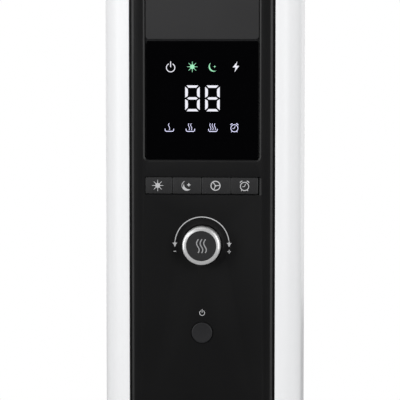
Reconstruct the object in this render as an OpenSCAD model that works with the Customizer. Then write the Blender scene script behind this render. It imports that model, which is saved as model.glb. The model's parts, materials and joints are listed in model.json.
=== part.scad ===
// Ceramic tower heater: white side shells, black core, control panel, PTC heater and crossflow blower.
// Millimetres. +Z is up, the front faces -Y, the origin is the centre of the footprint on the floor.

/* [Body] */
// Width of the body across the side shells
body_w = 148.6; // [138:0.2:190]
// Depth of the body, front plane to rear plane
body_d = 130; // [126:1:170]
// Height from the floor to the top
total_h = 630; // [520:5:780]
// Plan radius of the body's four upright corners, which is also the width of each shell's front
corner_r = 19.4; // [14:0.2:24]
// Radius of the rolled top edge
top_edge_r = 12; // [6:1:13]
// Wall thickness of the shells, the base and the top cover
wall = 2.5; // [2:0.1:3.5]
// Thickness of the fascia and of the rear cover
fascia_t = 3; // [2.6:0.1:4]
// Gap between neighbouring outer panels
panel_gap = 0.4; // [0.3:0.1:1]
// Width of the shadow groove down each side of the fascia
groove_w = 1.5; // [0.5:0.1:2]
// Depth of the shadow groove
groove_d = 1.6; // [1:0.1:2]
// Height of the top cover's skirts
top_cover_h = 18; // [16:1:30]

/* [Base] */
// Width of the base
base_w = 190; // [170:1:240]
// Depth of the base
base_d = 180; // [160:1:230]
// Height of the base without its feet
base_h = 22; // [20:1:34]
// Plan radius of the base's corners
base_corner_r = 34; // [24:1:40]
// Radius of the base's rolled top edge
base_edge_r = 8; // [4:1:12]
// Height of the rubber feet
foot_h = 4; // [3:0.5:8]
// Radius of a rubber foot
foot_r = 9; // [6:0.5:12]
// Radius of the cord gland's bore
gland_bore_r = 3.6; // [3:0.1:4.5]

/* [Display] */
// Distance from the top of the heater to the top of the display window
display_drop = 70; // [60:1:90]
// Distance from each edge of the black core to the display window
display_margin = 12.4; // [11:0.1:18]
// Height of the display window
display_h = 88.8; // [70:0.1:95]
// Height of the grey inlay above the display
inlay_h = 41; // [10:1:45]
// Depth of the display and inlay below the fascia
recess_depth = 1.2; // [0.6:0.1:1.6]
// Width of the dark gap round the display and inlay
lens_gap = 0.5; // [0.3:0.1:1]
// Corner radius of the display window
window_r = 2.5; // [1:0.5:4]

/* [Keys] */
// Distance from the bottom of the display to the centre of the key row
key_drop = 19.6; // [17:0.1:28]
// Height of the keys
key_h = 12.7; // [10:0.1:15]
// Gap between neighbouring keys and round the row
key_gap = 0.25; // [0.2:0.05:0.8]
// Gap at the right end of the key row
key_end_gap = 0.9; // [0.2:0.05:2]
// How much narrower the two end keys are than the two middle ones
key_end_cut = 1.5; // [0:0.1:3]
// Key travel
key_travel = 0.6; // [0.3:0.1:1]

/* [Knob] */
// Distance from the key row to the knob's centre
knob_drop = 44.6; // [36:0.2:60]
// Outer radius of the knob's metal ring
knob_r = 14.35; // [11:0.05:18]
// Width of the metal ring
ring_w = 3; // [2:0.1:4]
// Height of the knob in front of the fascia
knob_h = 10; // [8:0.5:14]
// Press travel of the knob
knob_travel = 0.8; // [0.4:0.1:1]
// Radius of the encoder's shaft
encoder_shaft_r = 3; // [2.5:0.1:3.2]

/* [Power button] */
// Distance from the knob to the power button
button_drop = 66.6; // [50:0.2:80]
// Radius of the power button
button_r = 7.8; // [5:0.1:10]
// Travel of the latching power button
button_travel = 2.5; // [1.5:0.1:3]

/* [Air path] */
// Distance from each edge of the black core to the warm air outlet
outlet_margin = 10.9; // [9.5:0.1:16]
// Distance from the base to the outlet
outlet_lift = 24; // [20:1:40]
// Distance from the power button down to the top of the outlet
outlet_drop = 71.4; // [60:0.5:100]
// Spacing of the louvres
louvre_pitch = 9; // [7:0.5:14]
// Depth of the ceramic heater's frame
heater_d = 18; // [14:1:20]
// Radius of the blower wheel
wheel_r = 30; // [24:0.5:32]
// Blades on the blower wheel
blades = 26; // [16:1:36]
// Radius of the blower shaft
shaft_r = 3; // [2.5:0.1:4]

/* [Filter door] */
// Distance from each edge of the black core to the filter door
door_margin = 4.9; // [4:0.1:8]
// Thickness of the filter door's panel
door_t = 3; // [2.6:0.1:4]
// Radius of the door's hinge pins
pin_r = 1.5; // [1.2:0.1:1.8]

/* [Handle] */
// Distance from each edge of the black core to the finger recess in the rear cover
grip_margin = 11.9; // [10.5:0.1:18]
// Height of the finger recess's mouth
grip_h = 32; // [26:1:40]
// Depth of the finger recess
grip_d = 27; // [20:1:34]

/* [Hidden] */
$fn = 64;

// Fits and clearances
run_gap = 0.05;
slide_gap = 0.1;
part_gap = 0.3;
over = 1;

// Planes and levels
y_front = -body_d / 2;
y_rear = body_d / 2;
y_fascia_back = y_front + fascia_t;
y_rear_inside = y_rear - fascia_t;
base_top = foot_h + base_h;
cap_z = total_h - top_cover_h;
core_w = body_w - 2 * corner_r;
panel_w = core_w - 2 * panel_gap;
display_w = core_w - 2 * display_margin;
outlet_w = core_w - 2 * outlet_margin;
door_w = core_w - 2 * door_margin;
grip_w = core_w - 2 * grip_margin;

// Control panel levels
display_top = total_h - display_drop;
display_bottom = display_top - display_h;
inlay_bottom = display_top + 1.2;
inlay_top = inlay_bottom + inlay_h;
key_z = display_bottom - key_drop;
knob_z = key_z - knob_drop;
button_z = knob_z - button_drop;
keys = 4;
key_well_w = display_w + 2 * lens_gap;
keys_x0 = -key_well_w / 2 + key_gap;
keys_x1 = key_well_w / 2 - key_end_gap;
key_pitch = (keys_x1 - keys_x0 + key_gap + 2 * key_end_cut) / keys;
flange_t = 1.3;
key_proud = 0.3;
stem_r = 1.7;
y_board = y_front + 15;
board_t = 1.6;
tact_h = 4;
tact_w = 6.2;
board_x = display_w / 2 + 0.5;
board_z0 = button_z - 12;
board_z1 = key_z + 16;

// Air path levels
outlet_z0 = base_top + outlet_lift;
outlet_z1 = button_z - outlet_drop;
outlet_h = outlet_z1 - outlet_z0;
grille_frame = 3;
grille_d = 8;
y_heater0 = y_front + 12;
y_heater1 = y_heater0 + heater_d;
end_plate = 2.5;
wheel_y = y_heater1 + wheel_r + 19;
wheel_z0 = outlet_z0 + 14;
wheel_z1 = outlet_z1 - 6;
housing_z0 = wheel_z0 - 3;
housing_z1 = wheel_z1 + 3;
housing_w = outlet_w;
housing_y1 = wheel_y + wheel_r + 5;
duct_t = 1.8;
shelf_z = outlet_z1 + 6;
shelf_t = 3;

// Motor under the wheel
motor_z0 = base_top + 9;
stack_h = 16;
rotor_r = 13;
stator_w = 66;
stator_d = 50;
stud_x = 26;
stud_r = 2;
coil_w = 30;
coil_d = 12;

// Chassis posts and screws
boss_r = 3;
post_w = 8;
post_x = panel_w / 2 - boss_r - 0.2;
post_front_y = y_front + 23;
post_rear_y = y_rear - 15;
wire_way_r = 8;
board_way_r = 3;
screw_r = 1.3;
screw_head_r = 2.5;
screw_head_h = 1.8;
screw_rows = [base_top + 16, shelf_z + 14, knob_z - 30, cap_z - 62];
base_screw_r = 1.5;

// Filter door
door_z0 = base_top + 32;
door_z1 = shelf_z - 3;
recess_x0 = -door_w / 2 - 0.4;
recess_x1 = door_w / 2 + 0.4;
recess_wall = 2;
lug_t = 3;
y_guard = y_rear - 8.6;
guard_t = 2;
hinge_x = recess_x0 + 3.4;
hinge_y = y_rear - door_t;
barrel_r = door_t - 0.1;
door_x1 = recess_x1 - 0.6;

// Finger recess
grip_z0 = cap_z - 46;
grip_wall = 2;
grip_lip = 8;

// Power board behind the controls
power_z0 = shelf_z + 24;
power_h = 124;
power_w = 80;
y_power = y_rear - 43;
beam_h = 6;
standoff_x = 34;
standoff_r = 3;

// Tip-over switch
tip_x = 0;
tip_y = -44;
tip_r = 4;
tip_travel = 4;
tip_body = 18;
tip_floor_gap = 0.3;
base_plate_t = 2.5;

// Cord gland at the rear of the base
gland_x = -52;
gland_r = gland_bore_r + 3;
gland_z = foot_h + base_plate_t + gland_r - 0.4;
gland_l = 16;

// Colours
white = "whitesmoke";
black = [0.08, 0.08, 0.09];
dark = [0.13, 0.13, 0.14];
grey = [0.32, 0.32, 0.34];
pcb = [0.05, 0.27, 0.16];
steel = [0.66, 0.67, 0.70];
metal = [0.80, 0.81, 0.83];
copper = [0.72, 0.40, 0.18];
stone = [0.90, 0.88, 0.82];

// ---- shared shapes -------------------------------------------------------------------------

// Cylinder along +Y from y0 to y1
module rod_y(r, x, y0, y1, z) {
    translate([x, y0, z]) rotate([-90, 0, 0]) cylinder(r = r, h = y1 - y0);
}

// Cylinder along +X from x0 to x1
module rod_x(r, x0, x1, y, z) {
    translate([x0, y, z]) rotate([0, 90, 0]) cylinder(r = r, h = x1 - x0);
}

// Box given by its low and high corners
module block(low, high) {
    translate(low) cube(high - low);
}

// Rectangle with round corners, centred
module round_rect(w, h, r) {
    square([w - 2 * r, h], center = true);
    square([w, h - 2 * r], center = true);
    for (x = [-1, 1], y = [-1, 1])
        translate([x * (w / 2 - r), y * (h / 2 - r)]) circle(r);
}

// Upright rounded rectangle in the XZ plane, from y0 to y1
module plate_xz(w, z0, z1, r, y0, y1) {
    translate([0, y1, (z0 + z1) / 2]) rotate([90, 0, 0])
        linear_extrude(y1 - y0) round_rect(w, z1 - z0, r);
}

// Solid section from the axis out to reach, with its outer top corner rounded by edge
module rolled_section(reach, low, top, edge) {
    translate([0, low]) square([reach, top - low - edge]);
    translate([0, low]) square([reach - edge, top - low]);
    translate([reach - edge, top - edge]) circle(edge);
}

// Wall and top plate of a cover, out to reach from the corner's centre
module rolled_wall(reach, low, top, edge, t) {
    intersection() {
        difference() {
            rolled_section(reach, low, top, edge);
            rolled_section(reach - t, low - over, top - t, edge - t);
        }
        translate([0, low]) square([reach, top - low]);
    }
}

// Runs a section, given from a corner's centre outwards, round one end of a rounded rectangle at -X
module round_end(w, d, r) {
    for (side = [-1, 1])
        translate([-(w / 2 - r), side * (d / 2 - r), 0])
            rotate([0, 0, side > 0 ? 90 : 180]) rotate_extrude(angle = 90) children();
    translate([-(w / 2 - r), d / 2 - r, 0]) rotate([90, 0, 0]) mirror([1, 0, 0])
        linear_extrude(d - 2 * r) children();
}

// A screw along +Y whose head starts at y and whose shank runs on for len
module screw_y(x, y, z, len, head_side) {
    rod_y(screw_head_r, x, y, y + screw_head_h, z);
    if (head_side < 0)
        rod_y(screw_r, x, y + screw_head_h - 0.01, y + screw_head_h + len, z);
    else
        rod_y(screw_r, x, y - len, y + 0.01, z);
}

// ---- base ----------------------------------------------------------------------------------

module base_cover() color(black) {
    difference() {
        union() {
            for (side = [0, 1]) mirror([side, 0, 0])
                round_end(base_w, base_d, base_corner_r)
                    rolled_wall(base_corner_r, foot_h, base_top, base_edge_r, wall);
            base_spine();
        }
        rod_y(gland_r - 1.6, gland_x, base_d / 2 - wall - over, base_d / 2 + over, gland_z);
        for (x = [-1, 1], y = [post_front_y, post_rear_y])
            translate([x * post_x, y, foot_h]) cylinder(r = base_screw_r + slide_gap, h = base_h + over);
        translate([-post_x, 0, foot_h]) cylinder(r = wire_way_r + 1, h = base_h + over);
    }
}

// The base cover's middle, between its two round ends
module base_spine() {
    half = base_w / 2 - base_corner_r;
    translate([-half, 0, 0]) rotate([90, 0, 90]) linear_extrude(2 * half)
        for (side = [0, 1]) mirror([side, 0])
            translate([base_d / 2 - base_corner_r, 0]) union() {
                rolled_wall(base_corner_r, foot_h, base_top, base_edge_r, wall);
                translate([-(base_d / 2 - base_corner_r), base_top - wall])
                    square([base_d / 2 - base_corner_r, wall]);
            }
}

module base_plate() color(dark) {
    difference() {
        translate([0, 0, foot_h]) linear_extrude(base_plate_t)
            round_rect(base_w - 2 * wall - 2 * part_gap, base_d - 2 * wall - 2 * part_gap,
                       base_corner_r - wall - part_gap);
        translate([tip_x, tip_y, foot_h - over]) cylinder(r = tip_r + part_gap, h = base_plate_t + 2 * over);
        for (x = [-1, 1], y = [-1, 1])
            translate([x * foot_x(), y * foot_y(), foot_h - over])
                cylinder(r = foot_r / 3, h = base_plate_t + 2 * over);
    }
    for (x = [-1, 1])
        translate([x * (base_w / 2 - 18), 0, foot_h + base_plate_t - 0.01])
            cylinder(r = 5, h = base_h - wall - base_plate_t + 0.01);
}

function foot_x() = base_w / 2 - 22;
function foot_y() = base_d / 2 - 22;

module rubber_feet() color("black") {
    for (x = [-1, 1], y = [-1, 1])
        translate([x * foot_x(), y * foot_y(), 0]) {
            difference() {
                cylinder(r = foot_r, h = foot_h);
                translate([0, 0, -over]) cylinder(r = foot_r / 2, h = over + 1);
            }
            translate([0, 0, foot_h - 0.01]) cylinder(r = foot_r / 3 - slide_gap, h = base_plate_t);
        }
}

module base_screws() color(steel) {
    for (x = [-1, 1], y = [post_front_y, post_rear_y])
        translate([x * post_x, y, base_top - wall - 2]) {
            cylinder(r = 3, h = 2);
            cylinder(r = base_screw_r, h = 2 + wall + 14);
        }
}

module cord_gland() color(dark) {
    y_out = base_d / 2;
    difference() {
        union() {
            rod_y(gland_r, gland_x, y_out, y_out + 4, gland_z);
            rod_y(gland_r - 1.6, gland_x, y_out + 4 - gland_l, y_out + 4, gland_z);
            rod_y(gland_r - 0.6, gland_x, y_out - wall - 3, y_out - wall - 0.1, gland_z);
        }
        rod_y(gland_bore_r, gland_x, y_out - gland_l, y_out + 4 + over, gland_z);
    }
}

module tip_switch() color([0.15, 0.15, 0.5]) {
    low = foot_h + base_plate_t;
    high = base_top - wall;
    difference() {
        block([tip_x - tip_body / 2, tip_y - tip_body / 2, low], [tip_x + tip_body / 2, tip_y + tip_body / 2, high]);
        translate([tip_x, tip_y, low - over]) cylinder(r = tip_r + 2.2, h = high - low - 1.5 + over);
    }
}

// Coil spring between the plunger's flange and the switch's roof
function helix(turn, r, z0, z1, turns) =
    [r * cos(360 * turns * turn), r * sin(360 * turns * turn), z0 + (z1 - z0) * turn];

module tip_spring() color(steel) {
    wire = 0.4;
    coil = tip_r - 0.6;
    z0 = tip_flange_z() + 1.5 + wire + 0.1;
    z1 = base_top - wall - 1.5 - wire - 0.1;
    steps = 80;
    sides = 6;
    points = [for (i = [0:steps]) let (c = helix(i / steps, coil, z0, z1, 5), a = 360 * 5 * i / steps)
        for (k = [0:sides - 1]) let (b = 360 * k / sides)
            [tip_x + c[0] + wire * cos(b) * cos(a), tip_y + c[1] + wire * cos(b) * sin(a), c[2] + wire * sin(b)]];
    sheets = [for (i = [0:steps - 1], k = [0:sides - 1]) let (n = (k + 1) % sides)
        [i * sides + k, (i + 1) * sides + k, (i + 1) * sides + n, i * sides + n]];
    ends = [[for (k = [0:sides - 1]) k], [for (k = [0:sides - 1]) steps * sides + sides - 1 - k]];
    polyhedron(points, concat(sheets, ends));
}

function tip_flange_z() = foot_h + base_plate_t + tip_travel + 0.6;

module tip_plunger() color(dark) {
    translate([tip_x, tip_y, tip_floor_gap]) {
        cylinder(r = tip_r, h = tip_flange_z() - tip_floor_gap + 1.5);
        translate([0, 0, tip_flange_z() - tip_floor_gap]) cylinder(r = tip_r + 1.8, h = 1.5);
        cylinder(r = 2, h = tip_flange_z() - tip_floor_gap + 4);
    }
}

// ---- body ----------------------------------------------------------------------------------

module chassis() color(grey) {
    inner_w = body_w - 2 * wall - 2;
    inner_d = body_d - 2 * fascia_t - 2;
    difference() {
        union() {
            translate([0, 0, base_top]) linear_extrude(shelf_t)
                round_rect(inner_w, inner_d, corner_r - wall - 1);
            translate([0, (post_front_y + post_rear_y) / 2, shelf_z]) linear_extrude(shelf_t)
                square([2 * post_x + post_w, post_rear_y - post_front_y + post_w], center = true);
            for (x = [-1, 1], y = [post_front_y, post_rear_y])
                translate([x * post_x - post_w / 2, y - post_w / 2, base_top])
                    cube([post_w, post_w, cap_z - base_top - 4]);
            for (z = [power_z0, power_z0 + power_h - beam_h])
                block([-post_x, post_rear_y - 2, z], [post_x, post_rear_y + 2, z + beam_h]);
            for (x = [-1, 1], z = [power_z0, power_z0 + power_h - beam_h])
                rod_y(standoff_r, x * standoff_x, y_power + board_t, post_rear_y, z + beam_h / 2);
        }
        for (x = [-1, 1], y = [post_front_y, post_rear_y])
            translate([x * post_x, y, base_top - over]) cylinder(r = base_screw_r + run_gap, h = 16 + over);
        for (x = [-1, 1], z = screw_rows) {
            rod_y(screw_r + slide_gap, x * post_x, post_front_y - post_w, post_front_y + post_w, z);
            rod_y(screw_r + run_gap, x * post_x, post_rear_y, post_rear_y + post_w, z);
        }
        translate([-post_x, 0, base_top - over]) cylinder(r = wire_way_r, h = shelf_t + 2 * over);
        translate([-post_x, 0, shelf_z - over]) cylinder(r = wire_way_r, h = shelf_t + 2 * over);
    }
}

module side_shell() color(white) {
    round_end(body_w, body_d, corner_r)
        rolled_wall(corner_r, base_top, total_h, top_edge_r, wall);
    for (y = [post_front_y, post_rear_y - 8], z = screw_rows)
        rod_x(3, -body_w / 2 + wall - 0.01, -post_x - post_w / 2, y + (y > 0 ? 4 : 0), z);
}

module left_shell() side_shell();

module right_shell() mirror([1, 0, 0]) side_shell();

module front_fascia() color(black) {
    y_pocket = y_front + recess_depth;
    difference() {
        union() {
            block([-panel_w / 2 + groove_w, y_front, base_top + panel_gap],
                  [panel_w / 2 - groove_w, y_fascia_back, cap_z - panel_gap]);
            block([-panel_w / 2, y_front + groove_d, base_top + panel_gap],
                  [panel_w / 2, y_fascia_back, cap_z - panel_gap]);
            for (x = [-1, 1]) {
                block([x > 0 ? panel_w / 2 - wall : -panel_w / 2, y_fascia_back - 0.01, base_top + shelf_t + 1],
                      [x > 0 ? panel_w / 2 : -panel_w / 2 + wall, y_front + 13, cap_z - panel_gap]);
                for (z = screw_rows)
                    rod_y(boss_r, x * post_x, y_fascia_back - 0.01, post_front_y - post_w / 2, z);
            }
            for (x = [-1, 1], z = [board_z0 + 4, board_z1 - 3.5])
                rod_y(2.5, x * (board_x - 3.5), y_fascia_back - 0.01, y_board, z);
        }
        plate_xz(display_w + 2 * lens_gap, display_bottom - lens_gap, inlay_top + lens_gap, window_r + lens_gap,
                 y_front - over, y_fascia_back + over);
        block([-key_well_w / 2, y_front - over, key_z - key_h / 2 - key_gap],
              [key_well_w / 2, y_fascia_back + over, key_z + key_h / 2 + key_gap]);
        rod_y(knob_r + 0.8, 0, y_front - over, y_pocket, knob_z);
        rod_y(3.7, 0, y_front - over, y_fascia_back + over, knob_z);
        rod_y(button_r + 0.2, 0, y_front - over, y_fascia_back + over, button_z);
        block([-outlet_w / 2 - part_gap, y_front - over, outlet_z0 - part_gap],
              [outlet_w / 2 + part_gap, y_fascia_back + over, outlet_z1 + part_gap]);
        for (x = [-1, 1], z = screw_rows)
            rod_y(screw_r + run_gap, x * post_x, y_fascia_back + 2, post_front_y, z);
    }
}

// The cap across the core, with the same rolled edge front and rear
module top_cover() color(black) {
    reach = body_d / 2;
    translate([-panel_w / 2, 0, 0]) rotate([90, 0, 90]) linear_extrude(panel_w)
        for (side = [0, 1]) mirror([side, 0])
            rolled_wall(reach, cap_z, total_h, top_edge_r, wall);
}

module rear_cover() color(black) {
    low = base_top + panel_gap;
    difference() {
        union() {
            block([-panel_w / 2, y_rear_inside, low], [panel_w / 2, y_rear, cap_z - panel_gap]);
            block([recess_x0 - recess_wall, y_guard, door_z0 - lug_t],
                  [recess_x1 + recess_wall, y_rear_inside + 0.01, door_z1 + lug_t]);
            block([-grip_w / 2 - grip_wall, y_rear - grip_d - grip_wall, grip_z0 - grip_wall],
                  [grip_w / 2 + grip_wall, y_rear_inside + 0.01, grip_z0 + grip_h + grip_lip + grip_wall]);
            for (x = [-1, 1], z = screw_rows)
                rod_y(boss_r, x * post_x, post_rear_y + post_w / 2, y_rear_inside + 0.01, z);
        }
        // Door recess, then the windows of the finger guard
        block([recess_x0, y_guard + guard_t, door_z0], [recess_x1, y_rear + over, door_z1]);
        guard_windows();
        for (z = [door_z0 - lug_t - over, door_z1 - over])
            translate([hinge_x, hinge_y, z]) cylinder(r = pin_r + run_gap, h = lug_t + 2 * over);
        // Finger recess with an undercut lip
        block([-grip_w / 2, y_rear - grip_d, grip_z0], [grip_w / 2, y_rear + over, grip_z0 + grip_h]);
        block([-grip_w / 2, y_rear - grip_d, grip_z0],
              [grip_w / 2, y_rear_inside - 2, grip_z0 + grip_h + grip_lip]);
        for (x = [-1, 1], z = screw_rows) {
            rod_y(screw_r + slide_gap, x * post_x, post_rear_y, y_rear + over, z);
            rod_y(screw_head_r + slide_gap, x * post_x, y_rear - screw_head_h, y_rear + over, z);
        }
    }
}

// Windows between the guard's bars: columns across, rows up
guard_cols = 5;
guard_bar = 2.4;
guard_x0 = recess_x0 + 8;
guard_x1 = recess_x1 - 4;
guard_z0 = door_z0 + 6;
guard_z1 = door_z1 - 6;
guard_rows = floor((guard_z1 - guard_z0) / 17);

module guard_windows() {
    step_x = (guard_x1 - guard_x0 + guard_bar) / guard_cols;
    step_z = (guard_z1 - guard_z0 + guard_bar) / guard_rows;
    for (i = [0:guard_cols - 1], k = [0:guard_rows - 1])
        translate([guard_x0 + i * step_x, y_guard - over, guard_z0 + k * step_z])
            cube([step_x - guard_bar, guard_t + 2 * over, step_z - guard_bar]);
}

module front_screws() color(steel) {
    len = post_w + 8;
    for (x = [-1, 1], z = screw_rows)
        screw_y(x * post_x, post_front_y + post_w / 2, z, len, 1);
}

module rear_screws() color(steel) {
    len = y_rear - screw_head_h - post_rear_y - 1;
    for (x = [-1, 1], z = screw_rows)
        screw_y(x * post_x, y_rear - screw_head_h, z, len, 1);
}

// ---- display -------------------------------------------------------------------------------

module inlay_plate() color(grey) {
    y0 = y_front + recess_depth;
    plate_xz(display_w, inlay_bottom, inlay_top, window_r, y0, y_fascia_back);
}

module display_lens() color([0.02, 0.02, 0.02]) {
    y0 = y_front + recess_depth;
    plate_xz(display_w, display_bottom, display_top, window_r, y0, y_fascia_back);
}

frame_t = 2;
y_leds = y_fascia_back + frame_t;
y_display_board = y_front + 11;
digit_w = 32;
digit_h = 26;
digit_z = display_top - 43;
icon_xs = [-24, -8, 8.4, 24.6];
icon_zs = [digit_z + 23.6, digit_z - 21.9];

module display_frame() color(dark) {
    w = display_w + 2 * lens_gap + 6;
    low = display_bottom - lens_gap - 3;
    high = inlay_top + lens_gap + 3;
    difference() {
        union() {
            block([-w / 2, y_fascia_back, low], [w / 2, y_leds, high]);
            for (x = [-1, 1], z = [display_bottom + 4, display_top - 4])
                rod_y(2.5, x * (display_w / 2 - 6), y_leds - 0.01, y_display_board, z);
        }
        block([-digit_w / 2 - part_gap, y_fascia_back - over, digit_z - digit_h / 2 - part_gap],
              [digit_w / 2 + part_gap, y_leds + over, digit_z + digit_h / 2 + part_gap]);
        for (x = icon_xs, z = icon_zs)
            rod_y(6, x, y_fascia_back - over, y_leds + over, z);
    }
}

module display_board() color(pcb) {
    block([-display_w / 2 + 2, y_display_board, display_bottom + 1],
          [display_w / 2 - 2, y_display_board + board_t, display_top - 1]);
}

module digit_module() color([0.85, 0.85, 0.88]) {
    block([-digit_w / 2, y_fascia_back + 0.2, digit_z - digit_h / 2],
          [digit_w / 2, y_display_board, digit_z + digit_h / 2]);
}

module icon_leds() color([0.85, 0.9, 0.85]) {
    for (x = icon_xs, z = icon_zs)
        rod_y(5.4, x, y_fascia_back + 0.2, y_display_board, z);
}

// ---- controls ------------------------------------------------------------------------------

function key_left(i) = keys_x0 + (i == 0 ? 0 : i * key_pitch - key_end_cut);
function key_right(i) = i == keys - 1 ? keys_x1 : key_left(i + 1) - key_gap;
function key_x(i) = (key_left(i) + key_right(i)) / 2;

module key(i) color(grey) {
    y_back = y_fascia_back + part_gap + flange_t;
    block([key_left(i), y_front - key_proud, key_z - key_h / 2], [key_right(i), y_back, key_z + key_h / 2]);
    block([key_left(i), y_back - flange_t, key_z - key_h / 2 - 1.6],
          [key_right(i), y_back, key_z + key_h / 2 + 1.6]);
    rod_y(stem_r, key_x(i), y_back - 0.01, y_board - tact_h + 1, key_z);
}

module key_heat() key(0);

module key_sleep() key(1);

module key_fan() key(2);

module key_timer() key(3);

module tact_switches() color([0.2, 0.2, 0.2]) {
    for (i = [0:keys - 1]) difference() {
        block([key_x(i) - tact_w / 2, y_board - tact_h, key_z - tact_w / 2],
              [key_x(i) + tact_w / 2, y_board, key_z + tact_w / 2]);
        rod_y(stem_r + slide_gap, key_x(i), y_board - tact_h - over, y_board - tact_h + 1.3 + key_travel, key_z);
    }
}

module control_board() color(pcb) {
    difference() {
        block([-board_x, y_board, board_z0], [board_x, y_board + board_t, board_z1]);
        rod_y(board_way_r, 0, y_board - over, y_board + board_t + over, knob_z - 14);
    }
}

encoder_w = 13;
encoder_h = 7;
plunger_r = encoder_shaft_r + 1.5;
plunger_l = 4;
y_bushing = y_front - 1.8;
y_shaft_end = y_board - 3;

module encoder_body() color(steel) {
    y0 = y_board - encoder_h;
    difference() {
        union() {
            block([-encoder_w / 2, y0, knob_z - encoder_w / 2], [encoder_w / 2, y_board, knob_z + encoder_w / 2]);
            rod_y(3.5, 0, y_bushing, y0 + 0.01, knob_z);
        }
        rod_y(encoder_shaft_r + run_gap, 0, y_bushing - over, y_board - 1, knob_z);
        rod_y(plunger_r + slide_gap, 0, y0 + 0.5, y_board - 0.8, knob_z);
    }
}

module encoder_nut() color(metal) {
    y0 = y_front + recess_depth - 2;
    difference() {
        translate([0, y0, knob_z]) rotate([-90, 0, 0]) cylinder(r = 5.6, h = 2, $fn = 6);
        rod_y(3.5, 0, y0 - over, y0 + 2 + over, knob_z);
    }
}

module encoder_plunger() color("gold") {
    y1 = y_board - 1 - knob_travel - 0.3;
    difference() {
        rod_y(plunger_r, 0, y1 - plunger_l, y1, knob_z);
        rod_y(encoder_shaft_r + run_gap, 0, y1 - plunger_l - over, y_shaft_end, knob_z);
    }
}

module encoder_shaft() color(steel) {
    rod_y(encoder_shaft_r, 0, y_front - knob_h + 2.5, y_shaft_end, knob_z);
}

knob_gap = knob_travel + 0.3;
y_knob_back = y_front + recess_depth - knob_gap;
face_r = knob_r - ring_w;

module knob_body() color(dark) {
    y_face = y_front - knob_h + 0.6;
    y_web = y_face + 4;
    difference() {
        rod_y(face_r, 0, y_face, y_knob_back, knob_z);
        rod_y(face_r - 2, 0, y_web, y_knob_back + over, knob_z);
        rod_y(encoder_shaft_r, 0, y_front - knob_h + 2.5, y_knob_back + over, knob_z);
    }
}

module knob_ring() color(metal) {
    bevel = ring_w - 0.8;
    translate([0, y_knob_back, knob_z]) rotate([90, 0, 0]) rotate_extrude()
        polygon([[face_r, 0], [knob_r, 0], [knob_r, y_knob_back - y_front + knob_h - bevel],
                 [knob_r - bevel, y_knob_back - y_front + knob_h], [face_r, y_knob_back - y_front + knob_h]]);
}

button_proud = 1;

module power_button() color(dark) {
    y_flange = y_fascia_back + part_gap;
    rod_y(button_r, 0, y_front - button_proud, y_flange + 1.5, button_z);
    rod_y(button_r + 1.2, 0, y_flange, y_flange + 1.5, button_z);
    rod_y(2, 0, y_flange + 1.49, y_board - 4.5, button_z);
}

module power_switch() color([0.2, 0.2, 0.22]) {
    difference() {
        block([-5, y_board - 6.5, button_z - 5], [5, y_board, button_z + 5]);
        rod_y(2 + slide_gap, 0, y_board - 6.5 - over, y_board - 1, button_z);
    }
}

// ---- air path ------------------------------------------------------------------------------

module outlet_grille() color(dark) {
    inner_w = outlet_w - 2 * grille_frame;
    inner_h = outlet_h - 2 * grille_frame;
    count = floor(inner_h / louvre_pitch);
    first = outlet_z0 + grille_frame + (inner_h - (count - 1) * louvre_pitch) / 2;
    difference() {
        block([-outlet_w / 2, y_front, outlet_z0], [outlet_w / 2, y_front + grille_d, outlet_z1]);
        block([-inner_w / 2, y_front - over, outlet_z0 + grille_frame],
              [inner_w / 2, y_front + grille_d + over, outlet_z1 - grille_frame]);
    }
    for (i = [0:count - 1])
        translate([0, y_front + grille_d / 2 + 0.4, first + i * louvre_pitch]) rotate([-35, 0, 0])
            cube([inner_w + 0.02, grille_d - 2, 1.4], center = true);
    for (x = [-1, 1])
        translate([x * inner_w / 6 - 0.8, y_front + 3, outlet_z0 + grille_frame - 0.01])
            cube([1.6, 4, inner_h + 0.02]);
}

heater_w = outlet_w;
heater_z0 = outlet_z0 + 2;
heater_z1 = outlet_z1 - 2;
heater_rim = 6;
tube_w = 7;
tubes = 3;
fin_rows = 4;
fin_w = (heater_w - 2 * heater_rim - tubes * tube_w) / fin_rows;
core_z0 = heater_z0 + heater_rim;
core_z1 = heater_z1 - heater_rim;
y_fin0 = y_heater0 + 2;
y_fin1 = y_heater1 - 2;

function tube_x(i) = -heater_w / 2 + heater_rim + (i + 1) * fin_w + i * tube_w;

module heater_frame() color([0.86, 0.83, 0.76]) {
    difference() {
        block([-heater_w / 2, y_heater0, heater_z0], [heater_w / 2, y_heater1, heater_z1]);
        block([-heater_w / 2 + heater_rim, y_heater0 - over, core_z0],
              [heater_w / 2 - heater_rim, y_heater1 + over, core_z1]);
    }
}

// A folded fin strip between two upright faces: flat folds joined by webs on alternate sides
module fin_strip(x0) {
    folds = 2 * floor((core_z1 - core_z0) / 8);
    foil = 0.5;
    step = (core_z1 - core_z0 - foil) / folds;
    translate([x0, y_fin1, core_z0]) rotate([90, 0, 0]) linear_extrude(y_fin1 - y_fin0) {
        for (i = [0:folds]) translate([0, i * step]) square([fin_w, foil]);
        for (i = [0:folds - 1]) translate([(i % 2) * (fin_w - foil), i * step]) square([foil, step + foil]);
    }
}

module heater_fins() color(metal) {
    for (i = [0:fin_rows - 1])
        fin_strip(-heater_w / 2 + heater_rim + i * (fin_w + tube_w));
}

module ptc_tubes() color(metal) {
    for (i = [0:tubes - 1]) difference() {
        block([tube_x(i), y_fin0, core_z0], [tube_x(i) + tube_w, y_fin1, core_z1]);
        block([tube_x(i) + 1.5, y_fin0 + 1.5, core_z0 - over], [tube_x(i) + tube_w - 1.5, y_fin1 - 1.5, core_z1 + over]);
    }
}

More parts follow.
